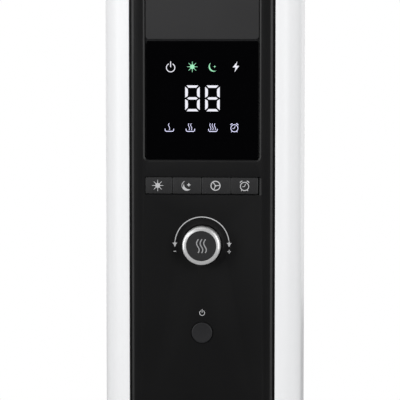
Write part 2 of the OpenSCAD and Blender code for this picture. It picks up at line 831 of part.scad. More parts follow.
module ptc_stones() color(stone) {
    count = floor((core_z1 - core_z0) / 28);
    step = (core_z1 - core_z0) / count;
    for (i = [0:tubes - 1], k = [0:count - 1])
        block([tube_x(i) + 1.5, y_fin0 + 1.5, core_z0 + k * step + 1],
              [tube_x(i) + tube_w - 1.5, y_fin1 - 1.5, core_z0 + (k + 1) * step - 1]);
}

module thermal_cutout() color(steel) {
    translate([-22, y_heater0 + heater_d / 2, heater_z1]) {
        cylinder(r = 8, h = 2);
        cylinder(r = 6, h = 5.6);
    }
}

module thermal_fuse() color("silver") {
    rod_x(1.9, 8, 26, y_heater0 + heater_d / 2, heater_z1 + 1.9);
}

// Sector of a ring between two angles, in plan
module ring_sector(r0, r1, a0, a1) {
    far = 2 * r1;
    intersection() {
        difference() {
            circle(r1);
            circle(r0);
        }
        polygon([[0, 0], far * [cos(a0), sin(a0)], far * [cos((a0 + a1) / 2), sin((a0 + a1) / 2)],
                 far * [cos(a1), sin(a1)]]);
    }
}

scroll_r = wheel_r + 8;
tongue_r = 3;

// Plan of the scroll: a round wall on the right, a flat wall and a round tongue on the left
module scroll_plan() {
    side = housing_w / 2;
    throat = y_heater1;
    translate([0, wheel_y]) ring_sector(scroll_r, scroll_r + duct_t, -62, 48);
    reach_x = (scroll_r + duct_t / 2) * cos(-62);
    reach_y = wheel_y + (scroll_r + duct_t / 2) * sin(-62);
    polygon([[reach_x - 1, reach_y], [reach_x + 1, reach_y + 1], [side, throat + 1], [side, throat],
             [side - duct_t, throat]]);
    polygon([[-side, throat], [-side + duct_t, throat], [-wheel_r + 1, wheel_y - wheel_r / 2 - 8.5],
             [-wheel_r - 1, wheel_y - wheel_r / 2 - 8.5]]);
    translate([-wheel_r, wheel_y - wheel_r / 2 - 9]) circle(tongue_r);
}

module blower_housing() color(dark) {
    side = housing_w / 2;
    translate([0, 0, housing_z0 - 0.01]) linear_extrude(housing_z1 - housing_z0 + 0.02) scroll_plan();
    difference() {
        union() {
            for (z = [housing_z0 - end_plate, housing_z1])
                block([-side, y_heater1, z], [side, housing_y1, z + end_plate]);
            for (x = [-1, 1], y = [y_heater1 + 8, housing_y1 - 6])
                translate([x * (side - 6), y, base_top + shelf_t])
                    cylinder(r = 4, h = housing_z0 - end_plate - base_top - shelf_t + 0.01);
        }
        translate([0, wheel_y, housing_z0 - end_plate - over]) cylinder(r = shaft_r + 2, h = end_plate + 2 * over);
        translate([0, wheel_y, housing_z1 - over]) cylinder(r = bearing_r, h = end_plate + 2 * over);
    }
}

bearing_r = 7;

module top_bearing() color([0.6, 0.45, 0.25]) {
    difference() {
        union() {
            translate([0, wheel_y, housing_z1]) cylinder(r = bearing_r, h = end_plate);
            translate([0, wheel_y, housing_z1 + end_plate]) cylinder(r = bearing_r + 2, h = 1.6);
        }
        translate([0, wheel_y, housing_z1 - over]) cylinder(r = shaft_r + run_gap, h = end_plate + 1.6 + 2 * over);
    }
}

module blower_wheel() color([0.25, 0.25, 0.27]) {
    blade_r = 7;
    disc = 1.5;
    translate([0, wheel_y, 0]) {
        for (z = [wheel_z0, (wheel_z0 + wheel_z1 - disc) / 2, wheel_z1 - disc])
            translate([0, 0, z]) difference() {
                cylinder(r = wheel_r, h = disc);
                translate([0, 0, -over]) cylinder(r = shaft_r, h = disc + 2 * over);
            }
        for (i = [0:blades - 1]) rotate([0, 0, 360 * i / blades])
            translate([wheel_r - 4, 0, wheel_z0 + 0.5]) linear_extrude(wheel_z1 - wheel_z0 - 1)
                translate([-1, -blade_r]) ring_sector(blade_r, blade_r + 0.8, 60, 105);
    }
}

module blower_shaft() color(steel) {
    translate([0, wheel_y, motor_z0 - 6])
        cylinder(r = shaft_r, h = housing_z1 + end_plate + 1.6 - motor_z0 + 6);
}

module motor_rotor() color([0.5, 0.5, 0.52]) {
    translate([0, wheel_y, motor_z0]) difference() {
        cylinder(r = rotor_r, h = stack_h);
        translate([0, 0, -over]) cylinder(r = shaft_r, h = stack_h + 2 * over);
    }
}

module motor_stator() color([0.4, 0.41, 0.44]) {
    difference() {
        block([-stator_w / 2, wheel_y - stator_d / 2, motor_z0], [stator_w / 2, wheel_y + stator_d / 2, motor_z0 + stack_h]);
        translate([0, wheel_y, motor_z0 - over]) cylinder(r = rotor_r + 0.4, h = stack_h + 2 * over);
        for (x = [-1, 1])
            translate([x * stud_x, wheel_y, motor_z0 - over])
                cylinder(r = stud_r + slide_gap, h = stack_h + 2 * over);
    }
}

module motor_coil() color(copper) {
    y1 = wheel_y - stator_d / 2;
    block([-coil_w / 2, y1 - coil_d, motor_z0 - 2], [coil_w / 2, y1, motor_z0 + stack_h + 2]);
}

module motor_bracket() color(steel) {
    low = motor_z0 - 4;
    difference() {
        union() {
            block([-stud_x - 5, wheel_y - 6, low], [stud_x + 5, wheel_y + 6, low + 2]);
            translate([0, wheel_y, low - 1.5]) cylinder(r = 6, h = 3.5);
            for (x = [-1, 1]) translate([x * stud_x, wheel_y, low])
                cylinder(r = stud_r, h = housing_z0 - end_plate - low);
            for (x = [-1, 1]) translate([x * stud_x, wheel_y, low + 2 - 0.01])
                cylinder(r = stud_r + 1.6, h = 2.01);
        }
        translate([0, wheel_y, low - 1.5 - over]) cylinder(r = shaft_r + run_gap, h = 3.5 + 2 * over);
    }
}

// ---- electronics ---------------------------------------------------------------------------

module power_board() color(pcb) {
    block([-power_w / 2, y_power, power_z0], [power_w / 2, y_power + board_t, power_z0 + power_h]);
}

module relays() color([0.1, 0.2, 0.55]) {
    for (i = [0:2])
        block([12, y_power - 15.5, power_z0 + 10 + i * 22], [31, y_power, power_z0 + 25 + i * 22]);
}

module transformer() color([0.85, 0.75, 0.25]) {
    block([-32, y_power - 20, power_z0 + 78], [-6, y_power, power_z0 + 102]);
}

module capacitors() color([0.1, 0.1, 0.12]) {
    for (i = [0:1])
        rod_y(6.5, -26 + i * 16, y_power - 18, y_power, power_z0 + 58);
    block([2, y_power - 14, power_z0 + 84], [20, y_power, power_z0 + 92]);
}

module terminal_block() color([0.2, 0.5, 0.25]) {
    block([-36, y_power - 12, power_z0 + 8], [-8, y_power, power_z0 + 22]);
}

loom_x = -post_x;
loom_r = 2.2;

// Wires from the terminal block down to the heater and the motor
module wiring_loom() color("firebrick") {
    z_block = power_z0 + 15;
    z_motor = motor_z0 + stack_h / 2;
    y_block = y_power - 6;
    translate([loom_x, 0, z_motor]) cylinder(r = loom_r, h = z_block - z_motor);
    for (z = [z_motor, z_block])
        translate([loom_x, 0, z]) sphere(loom_r);
    rod_y(loom_r, loom_x, 0, y_block, z_block);
    translate([loom_x, y_block, z_block]) sphere(loom_r);
    rod_x(loom_r, loom_x, -36, y_block, z_block);
    rod_x(loom_r, loom_x, -stator_w / 2, 0, z_motor);
}

module ntc_sensor() color([0.1, 0.1, 0.1]) {
    rod_y(2, 38, y_guard - 8, y_guard, (housing_z1 + end_plate + shelf_z) / 2);
}

// ---- filter door ---------------------------------------------------------------------------

slot_pitch = 8;
slot_h = 4.4;
slot_x0 = hinge_x + 8;
slot_x1 = door_x1 - 7;

module filter_door() color(black) {
    low = door_z0 + 0.5;
    high = door_z1 - 0.5;
    rows = floor((high - low - 16) / slot_pitch);
    first = (low + high - (rows - 1) * slot_pitch) / 2;
    mid = (slot_x0 + slot_x1) / 2;
    difference() {
        union() {
            translate([hinge_x, hinge_y, low]) cylinder(r = barrel_r, h = high - low);
            block([hinge_x, y_rear - door_t, low], [door_x1, y_rear, high]);
        }
        for (i = [0:rows - 1], side = [0, 1])
            translate([side ? mid + 1.5 : slot_x0, y_rear - door_t - over, first + i * slot_pitch - slot_h / 2])
                cube([mid - slot_x0 - 1.5, door_t + 2 * over, slot_h]);
        rod_y(8, door_x1 + 3, y_rear - door_t - over, y_rear + over, (low + high) / 2);
    }
    for (z = [door_z0 - lug_t + 0.2, high - 0.01])
        translate([hinge_x, hinge_y, z]) cylinder(r = pin_r, h = lug_t + 0.31);
}

// Moulded net in its own rim, clipped to the door's inside
module filter_mesh() color(grey) {
    x0 = slot_x0 - 3;
    x1 = slot_x1 + 3;
    z0 = door_z0 + 4;
    z1 = door_z1 - 4;
    rim = 2.4;
    y0 = y_guard + guard_t + 0.8;
    y1 = y_rear - door_t;
    cols = 8;
    rows = floor((z1 - z0) / 11);
    difference() {
        block([x0, y0, z0], [x1, y1, z1]);
        for (i = [0:cols - 1], k = [0:rows - 1])
            translate([x0 + rim + i * (x1 - x0 - rim) / cols, y0 - over, z0 + rim + k * (z1 - z0 - rim) / rows])
                cube([(x1 - x0 - rim) / cols - rim / 2, y1 - y0 + 2 * over, (z1 - z0 - rim) / rows - rim / 2]);
    }
}

base_cover();
base_plate();
rubber_feet();
base_screws();
cord_gland();
tip_switch();
tip_spring();
tip_plunger();
chassis();
left_shell();
right_shell();
front_fascia();
top_cover();
rear_cover();
front_screws();
rear_screws();
inlay_plate();
display_lens();
display_frame();
display_board();
digit_module();
icon_leds();
key_heat();
key_sleep();
key_fan();
key_timer();
tact_switches();
control_board();
encoder_body();
encoder_nut();
encoder_plunger();
encoder_shaft();
knob_body();
knob_ring();
power_button();
power_switch();
outlet_grille();
heater_frame();
heater_fins();
ptc_tubes();
ptc_stones();
thermal_cutout();
thermal_fuse();
blower_housing();
blower_wheel();
blower_shaft();
top_bearing();
motor_rotor();
motor_stator();
motor_coil();
motor_bracket();
power_board();
relays();
transformer();
capacitors();
terminal_block();
wiring_loom();
filter_door();
filter_mesh();
ntc_sensor();
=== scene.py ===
import json
import math

import bmesh
import bpy
import numpy as np
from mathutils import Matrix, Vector
from mathutils.geometry import tessellate_polygon


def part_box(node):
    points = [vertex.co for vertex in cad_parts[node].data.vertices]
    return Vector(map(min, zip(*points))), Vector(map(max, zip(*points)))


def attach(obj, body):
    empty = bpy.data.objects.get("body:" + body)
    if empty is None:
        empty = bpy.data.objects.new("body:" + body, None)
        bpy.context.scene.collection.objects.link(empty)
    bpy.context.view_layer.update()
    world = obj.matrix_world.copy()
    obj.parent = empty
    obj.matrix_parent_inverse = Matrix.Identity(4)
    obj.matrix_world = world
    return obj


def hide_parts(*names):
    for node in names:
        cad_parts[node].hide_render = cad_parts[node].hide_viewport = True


bl_info = {
    "name": "Ceramic tower heater",
    "version": (1, 0, 0),
    "blender": (4, 5, 0),
    "location": "3D View > Sidebar > Heater",
    "description": "Builds a ceramic tower heater's outer pieces, symbols and finishes round its frame",
    "category": "Add Mesh",
}

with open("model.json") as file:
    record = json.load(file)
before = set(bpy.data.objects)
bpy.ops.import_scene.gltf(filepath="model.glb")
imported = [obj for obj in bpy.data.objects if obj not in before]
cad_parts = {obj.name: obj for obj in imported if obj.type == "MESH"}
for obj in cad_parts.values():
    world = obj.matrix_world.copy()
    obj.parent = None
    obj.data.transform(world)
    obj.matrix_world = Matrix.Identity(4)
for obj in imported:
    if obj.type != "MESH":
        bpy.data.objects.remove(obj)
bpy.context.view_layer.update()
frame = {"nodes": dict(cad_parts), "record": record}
MM = 0.001
BUTTON_R = 7.8 * MM
SLIP = 0.3 * MM  # play between a key's or the button's flange and the frame before it
APART = 0.001 * MM  # keeps two surfaces that meet from being merged


def low(node):
    """Lowest corner of a frame node, in metres, as an array."""
    return np.array(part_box(node)[0])


def high(node):
    """Highest corner of a frame node, in metres, as an array."""
    return np.array(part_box(node)[1])


def middle(node):
    """Centre of a frame node's box."""
    return (low(node) + high(node)) / 2


def extent(node):
    """Width, depth and height of a frame node's box."""
    return high(node) - low(node)


# ---- sizes and colours a user may change ----


def length(name, description, default):
    """A size in metres that the sidebar shows."""
    return bpy.props.FloatProperty(name=name, description=description, default=default, unit="LENGTH",
                                   precision=5)


def colour(name, description, default):
    """A colour that the sidebar shows."""
    return bpy.props.FloatVectorProperty(name=name, description=description, default=default, size=3,
                                         subtype="COLOR", min=0, max=1)


class HeaterSizes(bpy.types.PropertyGroup):
    corner: length("Corner", "Plan radius of the shells' upright corners", 19.4 * MM)
    top_roll: length("Top roll", "Radius of the rolled top edge", 12 * MM)
    wall: length("Wall", "Thickness of the shells, the base and the top cover", 2.5 * MM)
    groove: length("Groove", "Width of the shadow groove down both sides of the fascia", 1.5 * MM)
    edge: length("Edge", "Width of the bevel down both sides of the fascia", 1.9 * MM)
    rim: length("Rim", "Width of the chamfer round the display recess", 1.4 * MM)
    key: length("Key", "Height of the keys", 12.7 * MM)
    crown: length("Crown", "Rise of the keys from their edges to their middle", 0.85 * MM)
    line: length("Line", "Width of the printed lines", 0.75 * MM)
    segment: length("Segment", "Width of the digits' upright bars", 2.1 * MM)
    ink: length("Ink", "Thickness of printed and lit symbols", 0.05 * MM)
    base_corner: length("Base corner", "Plan radius of the base's corners", 34 * MM)
    base_roll: length("Base roll", "Radius of the base's rolled top edge", 8 * MM)


class HeaterColours(bpy.types.PropertyGroup):
    white: colour("White", "Side shells", (0.86, 0.865, 0.875))
    black: colour("Black", "Fascia, covers and base", (0.0052, 0.0052, 0.0057))
    grey: colour("Grey", "Inlay above the display", (0.030, 0.030, 0.031))
    key: colour("Key", "Key tops", (0.026, 0.026, 0.027))
    print_grey: colour("Print", "Printed symbols", (0.52, 0.52, 0.53))
    lit_white: colour("Lit white", "Digits and upper symbols", (0.86, 0.86, 0.93))
    lit_blue: colour("Lit blue", "Lower symbols", (0.72, 0.72, 1.0))
    lit_green: colour("Lit green", "Heat and sleep symbols", (0.36, 0.86, 0.52))


# ---- surfaces ----


def rounded_loop(width, height, radius, steps=8):
    """Outline of a rounded rectangle: each corner's centre plus radius * (cos a, sin a), with a
    running over that corner's quarter turn."""
    quarter = np.arange(4)[:, None] + np.linspace(0, 1, steps + 1)[None, :]
    angle = quarter * math.pi / 2
    side_x = np.array([1, -1, -1, 1])[:, None]
    side_z = np.array([1, 1, -1, -1])[:, None]
    x = side_x * (width / 2 - radius) + radius * np.cos(angle)
    z = side_z * (height / 2 - radius) + radius * np.sin(angle)
    return np.stack([x.ravel(), z.ravel()], axis=1)


def circle_loop(radius, steps=96):
    """Outline of a circle: radius * (cos a, sin a) for a over a full turn."""
    angle = np.linspace(0, 2 * math.pi, steps, endpoint=False)
    return radius * np.stack([np.cos(angle), np.sin(angle)], axis=1)


def arc(centre, radius, start, end, steps=24):
    """Points of an arc: centre + radius * (cos a, sin a), a from start to end in degrees."""
    angle = np.radians(np.linspace(start, end, steps))
    return np.array(centre) + radius * np.stack([np.cos(angle), np.sin(angle)], axis=1)


def heading(degrees):
    """Unit vector (cos a, sin a) for an angle in degrees."""
    return np.array([math.cos(math.radians(degrees)), math.sin(math.radians(degrees))])


def in_front(loop, y, centre=(0, 0)):
    """Puts a flat outline (x, z) into the plane y, round a centre (x, z)."""
    return np.stack([loop[:, 0] + centre[0], np.full(len(loop), y), loop[:, 1] + centre[1]], axis=1)


def in_plan(loop, z, centre=(0, 0)):
    """Puts a flat outline (x, y) at the height z."""
    return np.stack([loop[:, 0] + centre[0], loop[:, 1] + centre[1], np.full(len(loop), z)], axis=1)


def along_x(section, x):
    """Puts a flat section (y, z) into the plane x."""
    return np.stack([np.full(len(section), x), section[:, 0], section[:, 1]], axis=1)


class Form:
    """Collects surfaces as arrays of points and faces, and makes them one mesh object."""

    def __init__(self):
        self.points = []
        self.faces = []
        self.count = 0

    def add(self, points, faces):
        self.points.append(np.asarray(points, float).reshape(-1, 3))
        self.faces += [[int(i) + self.count for i in face] for face in faces]
        self.count += len(self.points[-1])

    def loops(self, loops, caps=(True, True), ring=False):
        """Skin over closed outlines of equal count: quad (i, j) joins outline i to i + 1 and point j
        to j + 1. The first and last outline are capped, or joined to each other when ring is set."""
        loops = np.asarray(loops, float)
        rows, around = loops.shape[:2]
        i = np.arange(rows if ring else rows - 1)[:, None]
        j = np.arange(around)[None, :]
        here, there = i * around, ((i + 1) % rows) * around
        turn = (j + 1) % around
        quads = np.stack([here + j, here + turn, there + turn, there + j], axis=-1).reshape(-1, 4).tolist()
        if caps[0] and not ring:
            quads.append(list(range(around))[::-1])
        if caps[1] and not ring:
            quads.append(list(range((rows - 1) * around, rows * around)))
        self.add(loops, quads)

    def grid(self, points):
        """Open surface over a grid of points: quad (i, j) joins row i to i + 1 and column j to j + 1."""
        points = np.asarray(points, float)
        rows, columns = points.shape[:2]
        i = np.arange(rows - 1)[:, None] * columns
        j = np.arange(columns - 1)[None, :]
        quads = np.stack([i + j, i + j + 1, i + columns + j + 1, i + columns + j], axis=-1).reshape(-1, 4)
        self.add(points, quads.tolist())

    def flat_between(self, outlines, y):
        """Flat face in the plane y inside the first outline and outside the others."""
        groups = [[Vector((p[0], p[1], 0)) for p in outline] for outline in outlines]
        corners = np.concatenate(outlines)
        self.add(in_front(corners, y), tessellate_polygon(groups))

    def revolve(self, profile, centre, steps=128):
        """Turned about the Y axis through centre (x, z): point (r, y) of the profile becomes
        (x + r cos a, y, z + r sin a)."""
        self.loops([in_front(circle_loop(max(r, 1e-7), steps), y, centre) for r, y in profile])

    def ribbon(self, path, width, face, thick, closed=False):
        """A flat bar along a path (x, z): each path point gives a cross-section, half the width to
        either side along the path's normal, from the face out to thick in front of it."""
        path = np.asarray(path, float)
        if closed:
            step = np.roll(path, -1, axis=0) - np.roll(path, 1, axis=0)
        else:
            step = np.gradient(path, axis=0)
        step /= np.linalg.norm(step, axis=1)[:, None] + 1e-12
        side = np.stack([-step[:, 1], step[:, 0]], axis=1) * width / 2
        left, right = path + side, path - side
        sections = [
            np.stack([p[:, 0], face(p[:, 0], p[:, 1]) - lift, p[:, 1]], axis=1)
            for p, lift in ((left, thick), (right, thick), (right, 0), (left, 0))
        ]
        self.loops(np.stack(sections, axis=1), ring=closed)

    def patch(self, outline, face, thick):
        """A flat solid inside an outline (x, z), from the face out to thick in front of it."""
        outline = np.asarray(outline, float)
        y = face(outline[:, 0], outline[:, 1])
        rows = [np.stack([outline[:, 0], y - lift, outline[:, 1]], axis=1) for lift in (thick, 0)]
        self.loops(np.stack(rows))

    def mesh(self, name):
        """The collected surfaces as one mesh."""
        mesh = bpy.data.meshes.new(name)
        mesh.from_pydata(np.concatenate(self.points).tolist(), [], self.faces)
        return mesh

    def made(self, name, node, **settings):
        """Makes the mesh object, with its faces turned outwards, and settles it on a frame node."""
        mesh = self.mesh(name)
        tidy(mesh)
        settle(bpy.data.objects.new(name, mesh), node, **settings)


def tidy(mesh, flat=False):
    """Merges doubled points, drops faces of no size and turns every face outwards."""
    work = bmesh.new()
    work.from_mesh(mesh)
    bmesh.ops.remove_doubles(work, verts=work.verts, dist=2e-6)
    bmesh.ops.dissolve_degenerate(work, edges=work.edges, dist=1e-6)
    if flat:
        bmesh.ops.dissolve_limit(work, angle_limit=math.radians(0.5), verts=work.verts, edges=work.edges)
    bmesh.ops.recalc_face_normals(work, faces=work.faces)
    work.to_mesh(mesh)
    work.free()


def settle(piece, node, finish=None, stands_for=True, crease=32, wall=0, bevel=0):
    """Links a piece and smooths it between its sharp edges. The frame node gives its body, its slot and,
    unless another is named, its finish. A piece stands for that node or, as a print does, lies on it."""
    slot = SLOT_OF[node]
    bpy.context.scene.collection.objects.link(piece)
    piece.data.shade_smooth()
    piece.data.set_sharp_from_angle(angle=math.radians(crease))
    piece.data.materials.clear()
    piece.data.materials.append(FINISHES[finish or slot])
    if wall:
        solid = piece.modifiers.new("wall", "SOLIDIFY")
        solid.thickness = wall
        solid.offset = -1
        solid.use_even_offset = True
        solid.use_quality_normals = True
    if bevel:
        soft = piece.modifiers.new("soft edges", "BEVEL")
        soft.width = bevel
        soft.segments = 2
        soft.limit_method = "ANGLE"
        soft.angle_limit = math.radians(40)
    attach(piece, BODY_OF[node])
    if stands_for:
        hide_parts(node)


def softened(node, name, bevel):
    """A merged copy of a frame node with its sharp edges rounded by a bevel."""
    mesh = frame["nodes"][node].data.copy()
    mesh.name = name
    tidy(mesh, flat=True)
    settle(bpy.data.objects.new(name, mesh), node, bevel=bevel)


RECORD = frame["record"]
SLOT_OF = {part["node"]: part["material_slot"] for part in RECORD["subparts"]}
BODY_OF = {node: body for body, nodes in RECORD["behaviour"]["bodies"].items() for node in nodes}


# ---- finishes ----


class Field:
    """A number that varies over a surface. It wraps a socket, and arithmetic on it adds Math nodes."""

    def __init__(self, tree, socket):
        self.tree = tree
        self.socket = socket

    def joined(self, operation, first, second, clamp=False):
        node = self.tree.nodes.new("ShaderNodeMath")
        node.operation = operation
        node.use_clamp = clamp
        for slot, value in zip(node.inputs, (first, second)):
            if isinstance(value, Field):
                self.tree.links.new(value.socket, slot)
            else:
                slot.default_value = value
        return Field(self.tree, node.outputs[0])

    def __add__(self, other):
        return self.joined("ADD", self, other)

    __radd__ = __add__

    def __sub__(self, other):
        return self.joined("SUBTRACT", self, other)

    def __rsub__(self, other):
        return self.joined("SUBTRACT", other, self)

    def __mul__(self, other):
        return self.joined("MULTIPLY", self, other)

    __rmul__ = __mul__

    def __pow__(self, other):
        return self.joined("POWER", self, other)

    def clamped(self):
        return self.joined("ADD", self, 0.0, clamp=True)

    def sine(self):
        return self.joined("SINE", self, 0.0)

    def above(self, level):
        return self.joined("GREATER_THAN", self, level)


class Finish:
    """One procedural material, read on Object coordinates in metres."""

    def __init__(self, name, **constants):
        self.material = bpy.data.materials.new(name)
        self.material.use_nodes = True
        self.tree = self.material.node_tree
        self.shader = self.tree.nodes["Principled BSDF"]
        self.place = self.node("TexCoord").outputs["Object"]
        for socket, value in constants.items():
            self.shader.inputs[socket.replace("_", " ")].default_value = value

    def node(self, kind, settings=None, sockets=None):
        made = self.tree.nodes.new("ShaderNode" + kind)
        for key, value in (settings or {}).items():
            setattr(made, key, value)
        for key, value in (sockets or {}).items():
            slot = made.inputs[key]
            if isinstance(value, Field):
                self.tree.links.new(value.socket, slot)
            elif isinstance(value, bpy.types.NodeSocket):
                self.tree.links.new(value, slot)
            else:
                slot.default_value = value
        return made

    def noise(self, size, detail=2.0, stretch=(1, 1, 1)):
        """Noise from 0 to 1 whose features are about size metres across, longer along a stretched axis."""
        scale = tuple(1 / (size * s) for s in stretch)
        turned = self.node("Mapping", None, {"Vector": self.place, "Scale": scale}).outputs[0]
        made = self.node("TexNoise", None, {"Vector": turned, "Scale": 1.0, "Detail": detail})
        return Field(self.tree, made.outputs[0])

    def cells(self, size):
        """Distance to the nearest cell centre, for cells about size metres across."""
        made = self.node("TexVoronoi", None, {"Vector": self.place, "Scale": 1 / size})
        return Field(self.tree, made.outputs[0])

    def axis(self, index):
        """One Object coordinate, in metres."""
        return Field(self.tree, self.node("SeparateXYZ", None, {0: self.place}).outputs[index])

    def radius(self, x, z):
        """Distance from an axis along Y through (x, z)."""
        away_x, away_z = self.axis(0) - x, self.axis(2) - z
        return (away_x * away_x + away_z * away_z) ** 0.5

    def between(self, field, first, second):
        """Colour that runs from first to second as the field goes from 0 to 1."""
        mix = self.node("Mix", {"data_type": "RGBA"})
        socket = {s.identifier: s for s in mix.inputs}
        self.tree.links.new(field.socket, socket["Factor_Float"])
        socket["A_Color"].default_value = (*first[:3], 1)
        socket["B_Color"].default_value = (*second[:3], 1)
        return next(s for s in mix.outputs if s.identifier == "Result_Color")

    def colour(self, value):
        if isinstance(value, bpy.types.NodeSocket):
            self.tree.links.new(value, self.shader.inputs["Base Color"])
        else:
            self.shader.inputs["Base Color"].default_value = (*value[:3], 1)

    def set(self, socket, field):
        self.tree.links.new(field.socket, self.shader.inputs[socket])

    def finished(self, tone, rgb, shades, roughness, height, depth):
        """Base colour from shades[0] to shades[1] times rgb along the tone, a roughness, and a bump whose
        full height of 1 stands depth mm proud. Returns the material."""
        self.colour(self.between(tone, shade(rgb, shades[0]), shade(rgb, shades[1])))
        self.set("Roughness", roughness)
        bump = self.node("Bump", None, {"Height": height, "Distance": depth * MM, "Strength": 1.0})
        self.tree.links.new(bump.outputs[0], self.shader.inputs["Normal"])
        return self.material


def shade(rgb, factor):
    """A colour made lighter or darker by a factor."""
    return tuple(min(1.0, c * factor) for c in rgb)


def moulded(name, rgb, roughness, grain=0.35, depth=0.02, mottle=0.12, specular=0.5):
    """Moulded plastic: fine spark-eroded grain, slow drift in tone and gloss. Grain and depth in mm."""
    made = Finish(name, Specular_IOR_Level=specular)
    fine = made.noise(grain * MM, 3.0)
    drift = made.noise(55 * MM, 2.0)
    tone = (drift * 0.6 + fine * 0.4).clamped()
    rough = drift * 0.08 + fine * 0.06 + (roughness - 0.07)
    return made.finished(tone, rgb, (1 - mottle, 1 + mottle), rough, fine, depth)


def white_gloss(name, rgb):
    """Glossy white shell: faint orange peel a few millimetres across over a very fine grain."""
    made = Finish(name, Specular_IOR_Level=0.4)
    peel = made.noise(3.2 * MM, 1.0)
    fine = made.noise(0.5 * MM, 2.0)
    drift = made.noise(120 * MM, 2.0)
    rough = drift * 0.06 + fine * 0.04 + 0.3
    return made.finished(drift, rgb, (0.985, 1.01), rough, peel * 0.8 + fine * 0.2, 0.012)


def black_acrylic(name, rgb):
    """Smoked acrylic: near black, mirror smooth, with a trace of hairline wipe marks."""
    made = Finish(name, Specular_IOR_Level=0.16)
    wipe = made.noise(1.2 * MM, 3.0, stretch=(14, 1, 1))
    return made.finished(wipe, rgb, (0.8, 1.2), wipe * 0.03 + 0.05, made.noise(18 * MM, 1.0), 0.004)


def brushed(name, rgb, roughness=0.3, stretch=(40, 1, 1), grain=0.15):
    """Metal brushed along one axis: noise drawn out along it varies the gloss and the bump."""
    made = Finish(name, Metallic=1.0)
    lines = made.noise(grain * MM, 2.0, stretch=stretch)
    drift = made.noise(12 * MM, 2.0)
    rough = lines * 0.14 + drift * 0.08 + (roughness - 0.1)
    return made.finished(drift, rgb, (0.9, 1.05), rough, lines, 0.006)


def spun(name, rgb, centre, pitch=0.22, roughness=0.2, metallic=1.0, depth=0.004, specular=0.5):
    """Finish turned on a lathe: grooves in circles round centre, sin(2 pi r / pitch), blurred by noise."""
    made = Finish(name, Metallic=metallic, Specular_IOR_Level=specular)
    radius = made.radius(centre[0], centre[2])
    wander = made.noise(2.0 * MM, 2.0)
    groove = (radius * (2 * math.pi / (pitch * MM)) + wander * 5.0).sine() * 0.5 + 0.5
    speck = made.noise(0.25 * MM, 2.0)
    tone = (groove * 0.5 + speck * 0.5).clamped()
    rough = groove * 0.06 + speck * 0.08 + (roughness - 0.06)
    return made.finished(tone, rgb, (0.86, 1.1), rough, groove * 0.6 + speck * 0.4, depth)


def grained(name, rgb, grain, shades, roughness, depth):
    """Ink or sintered ceramic: matt, with cells of a grain size in mm that run between two shades and
    stand depth mm proud."""
    made = Finish(name, Specular_IOR_Level=0.3)
    cells = made.cells(grain * MM)
    return made.finished(cells.clamped(), rgb, shades, cells * 0.1 + roughness, cells, depth)


def lit(name, rgb, strength=1.0):
    """Light shining through a printed mask: brightest in the middle of the diffuser's grain."""
    made = Finish(name, Specular_IOR_Level=0.1, Emission_Strength=strength, Roughness=0.4)
    grain = made.noise(0.9 * MM, 2.0)
    glow = made.between(grain, shade(rgb, 0.93), shade(rgb, 1.04))
    made.colour((0.01, 0.01, 0.012))
    made.tree.links.new(glow, made.shader.inputs["Emission Color"])
    return made.material


def rubbery(name, rgb, roughness=0.75):
    """Rubber: matt, dusty in its pores."""
    made = Finish(name, Specular_IOR_Level=0.3)
    pores = made.cells(0.9 * MM)
    dust = made.noise(7 * MM, 3.0)
    return made.finished(dust, rgb, (1, 1.8), dust * 0.12 + (roughness - 0.06), pores, 0.03)


def solder_mask(name, rgb):
    """Circuit board: mask over a grid of copper tracks, darker between them."""
    made = Finish(name, Coat_Weight=0.5, Coat_Roughness=0.2)
    across = (made.axis(0) * (2 * math.pi / (5 * MM)) + made.noise(9 * MM, 0.0) * 9.0).sine()
    along = (made.axis(2) * (2 * math.pi / (7 * MM)) + made.noise(12 * MM, 0.0) * 8.0).sine()
    tracks = ((across * along).above(0.25) * 0.8 + 0.1).clamped()
    return made.finished(tracks, rgb, (1, 1.9), tracks * 0.1 + 0.35, tracks, 0.03)


def winding(name, rgb):
    """Coil of enamelled wire: rounds of wire along X, height |sin| across Z. Its colour holds painted
    shade, darkest in the valleys between the rounds.
    """
    made = Finish(name, Metallic=0.8)
    rounds = made.axis(2) * (2 * math.pi / (0.9 * MM))
    ridge_and_painted_shade = rounds.sine() * 0.5 + 0.5
    # painted shade: the base colour falls to 0.45 of the copper in the valleys between the wire rounds,
    # where the ridge is low
    return made.finished(ridge_and_painted_shade, rgb, (0.45, 1), ridge_and_painted_shade * -0.1 + 0.4, ridge_and_painted_shade, 0.15)


FINISHES = {}


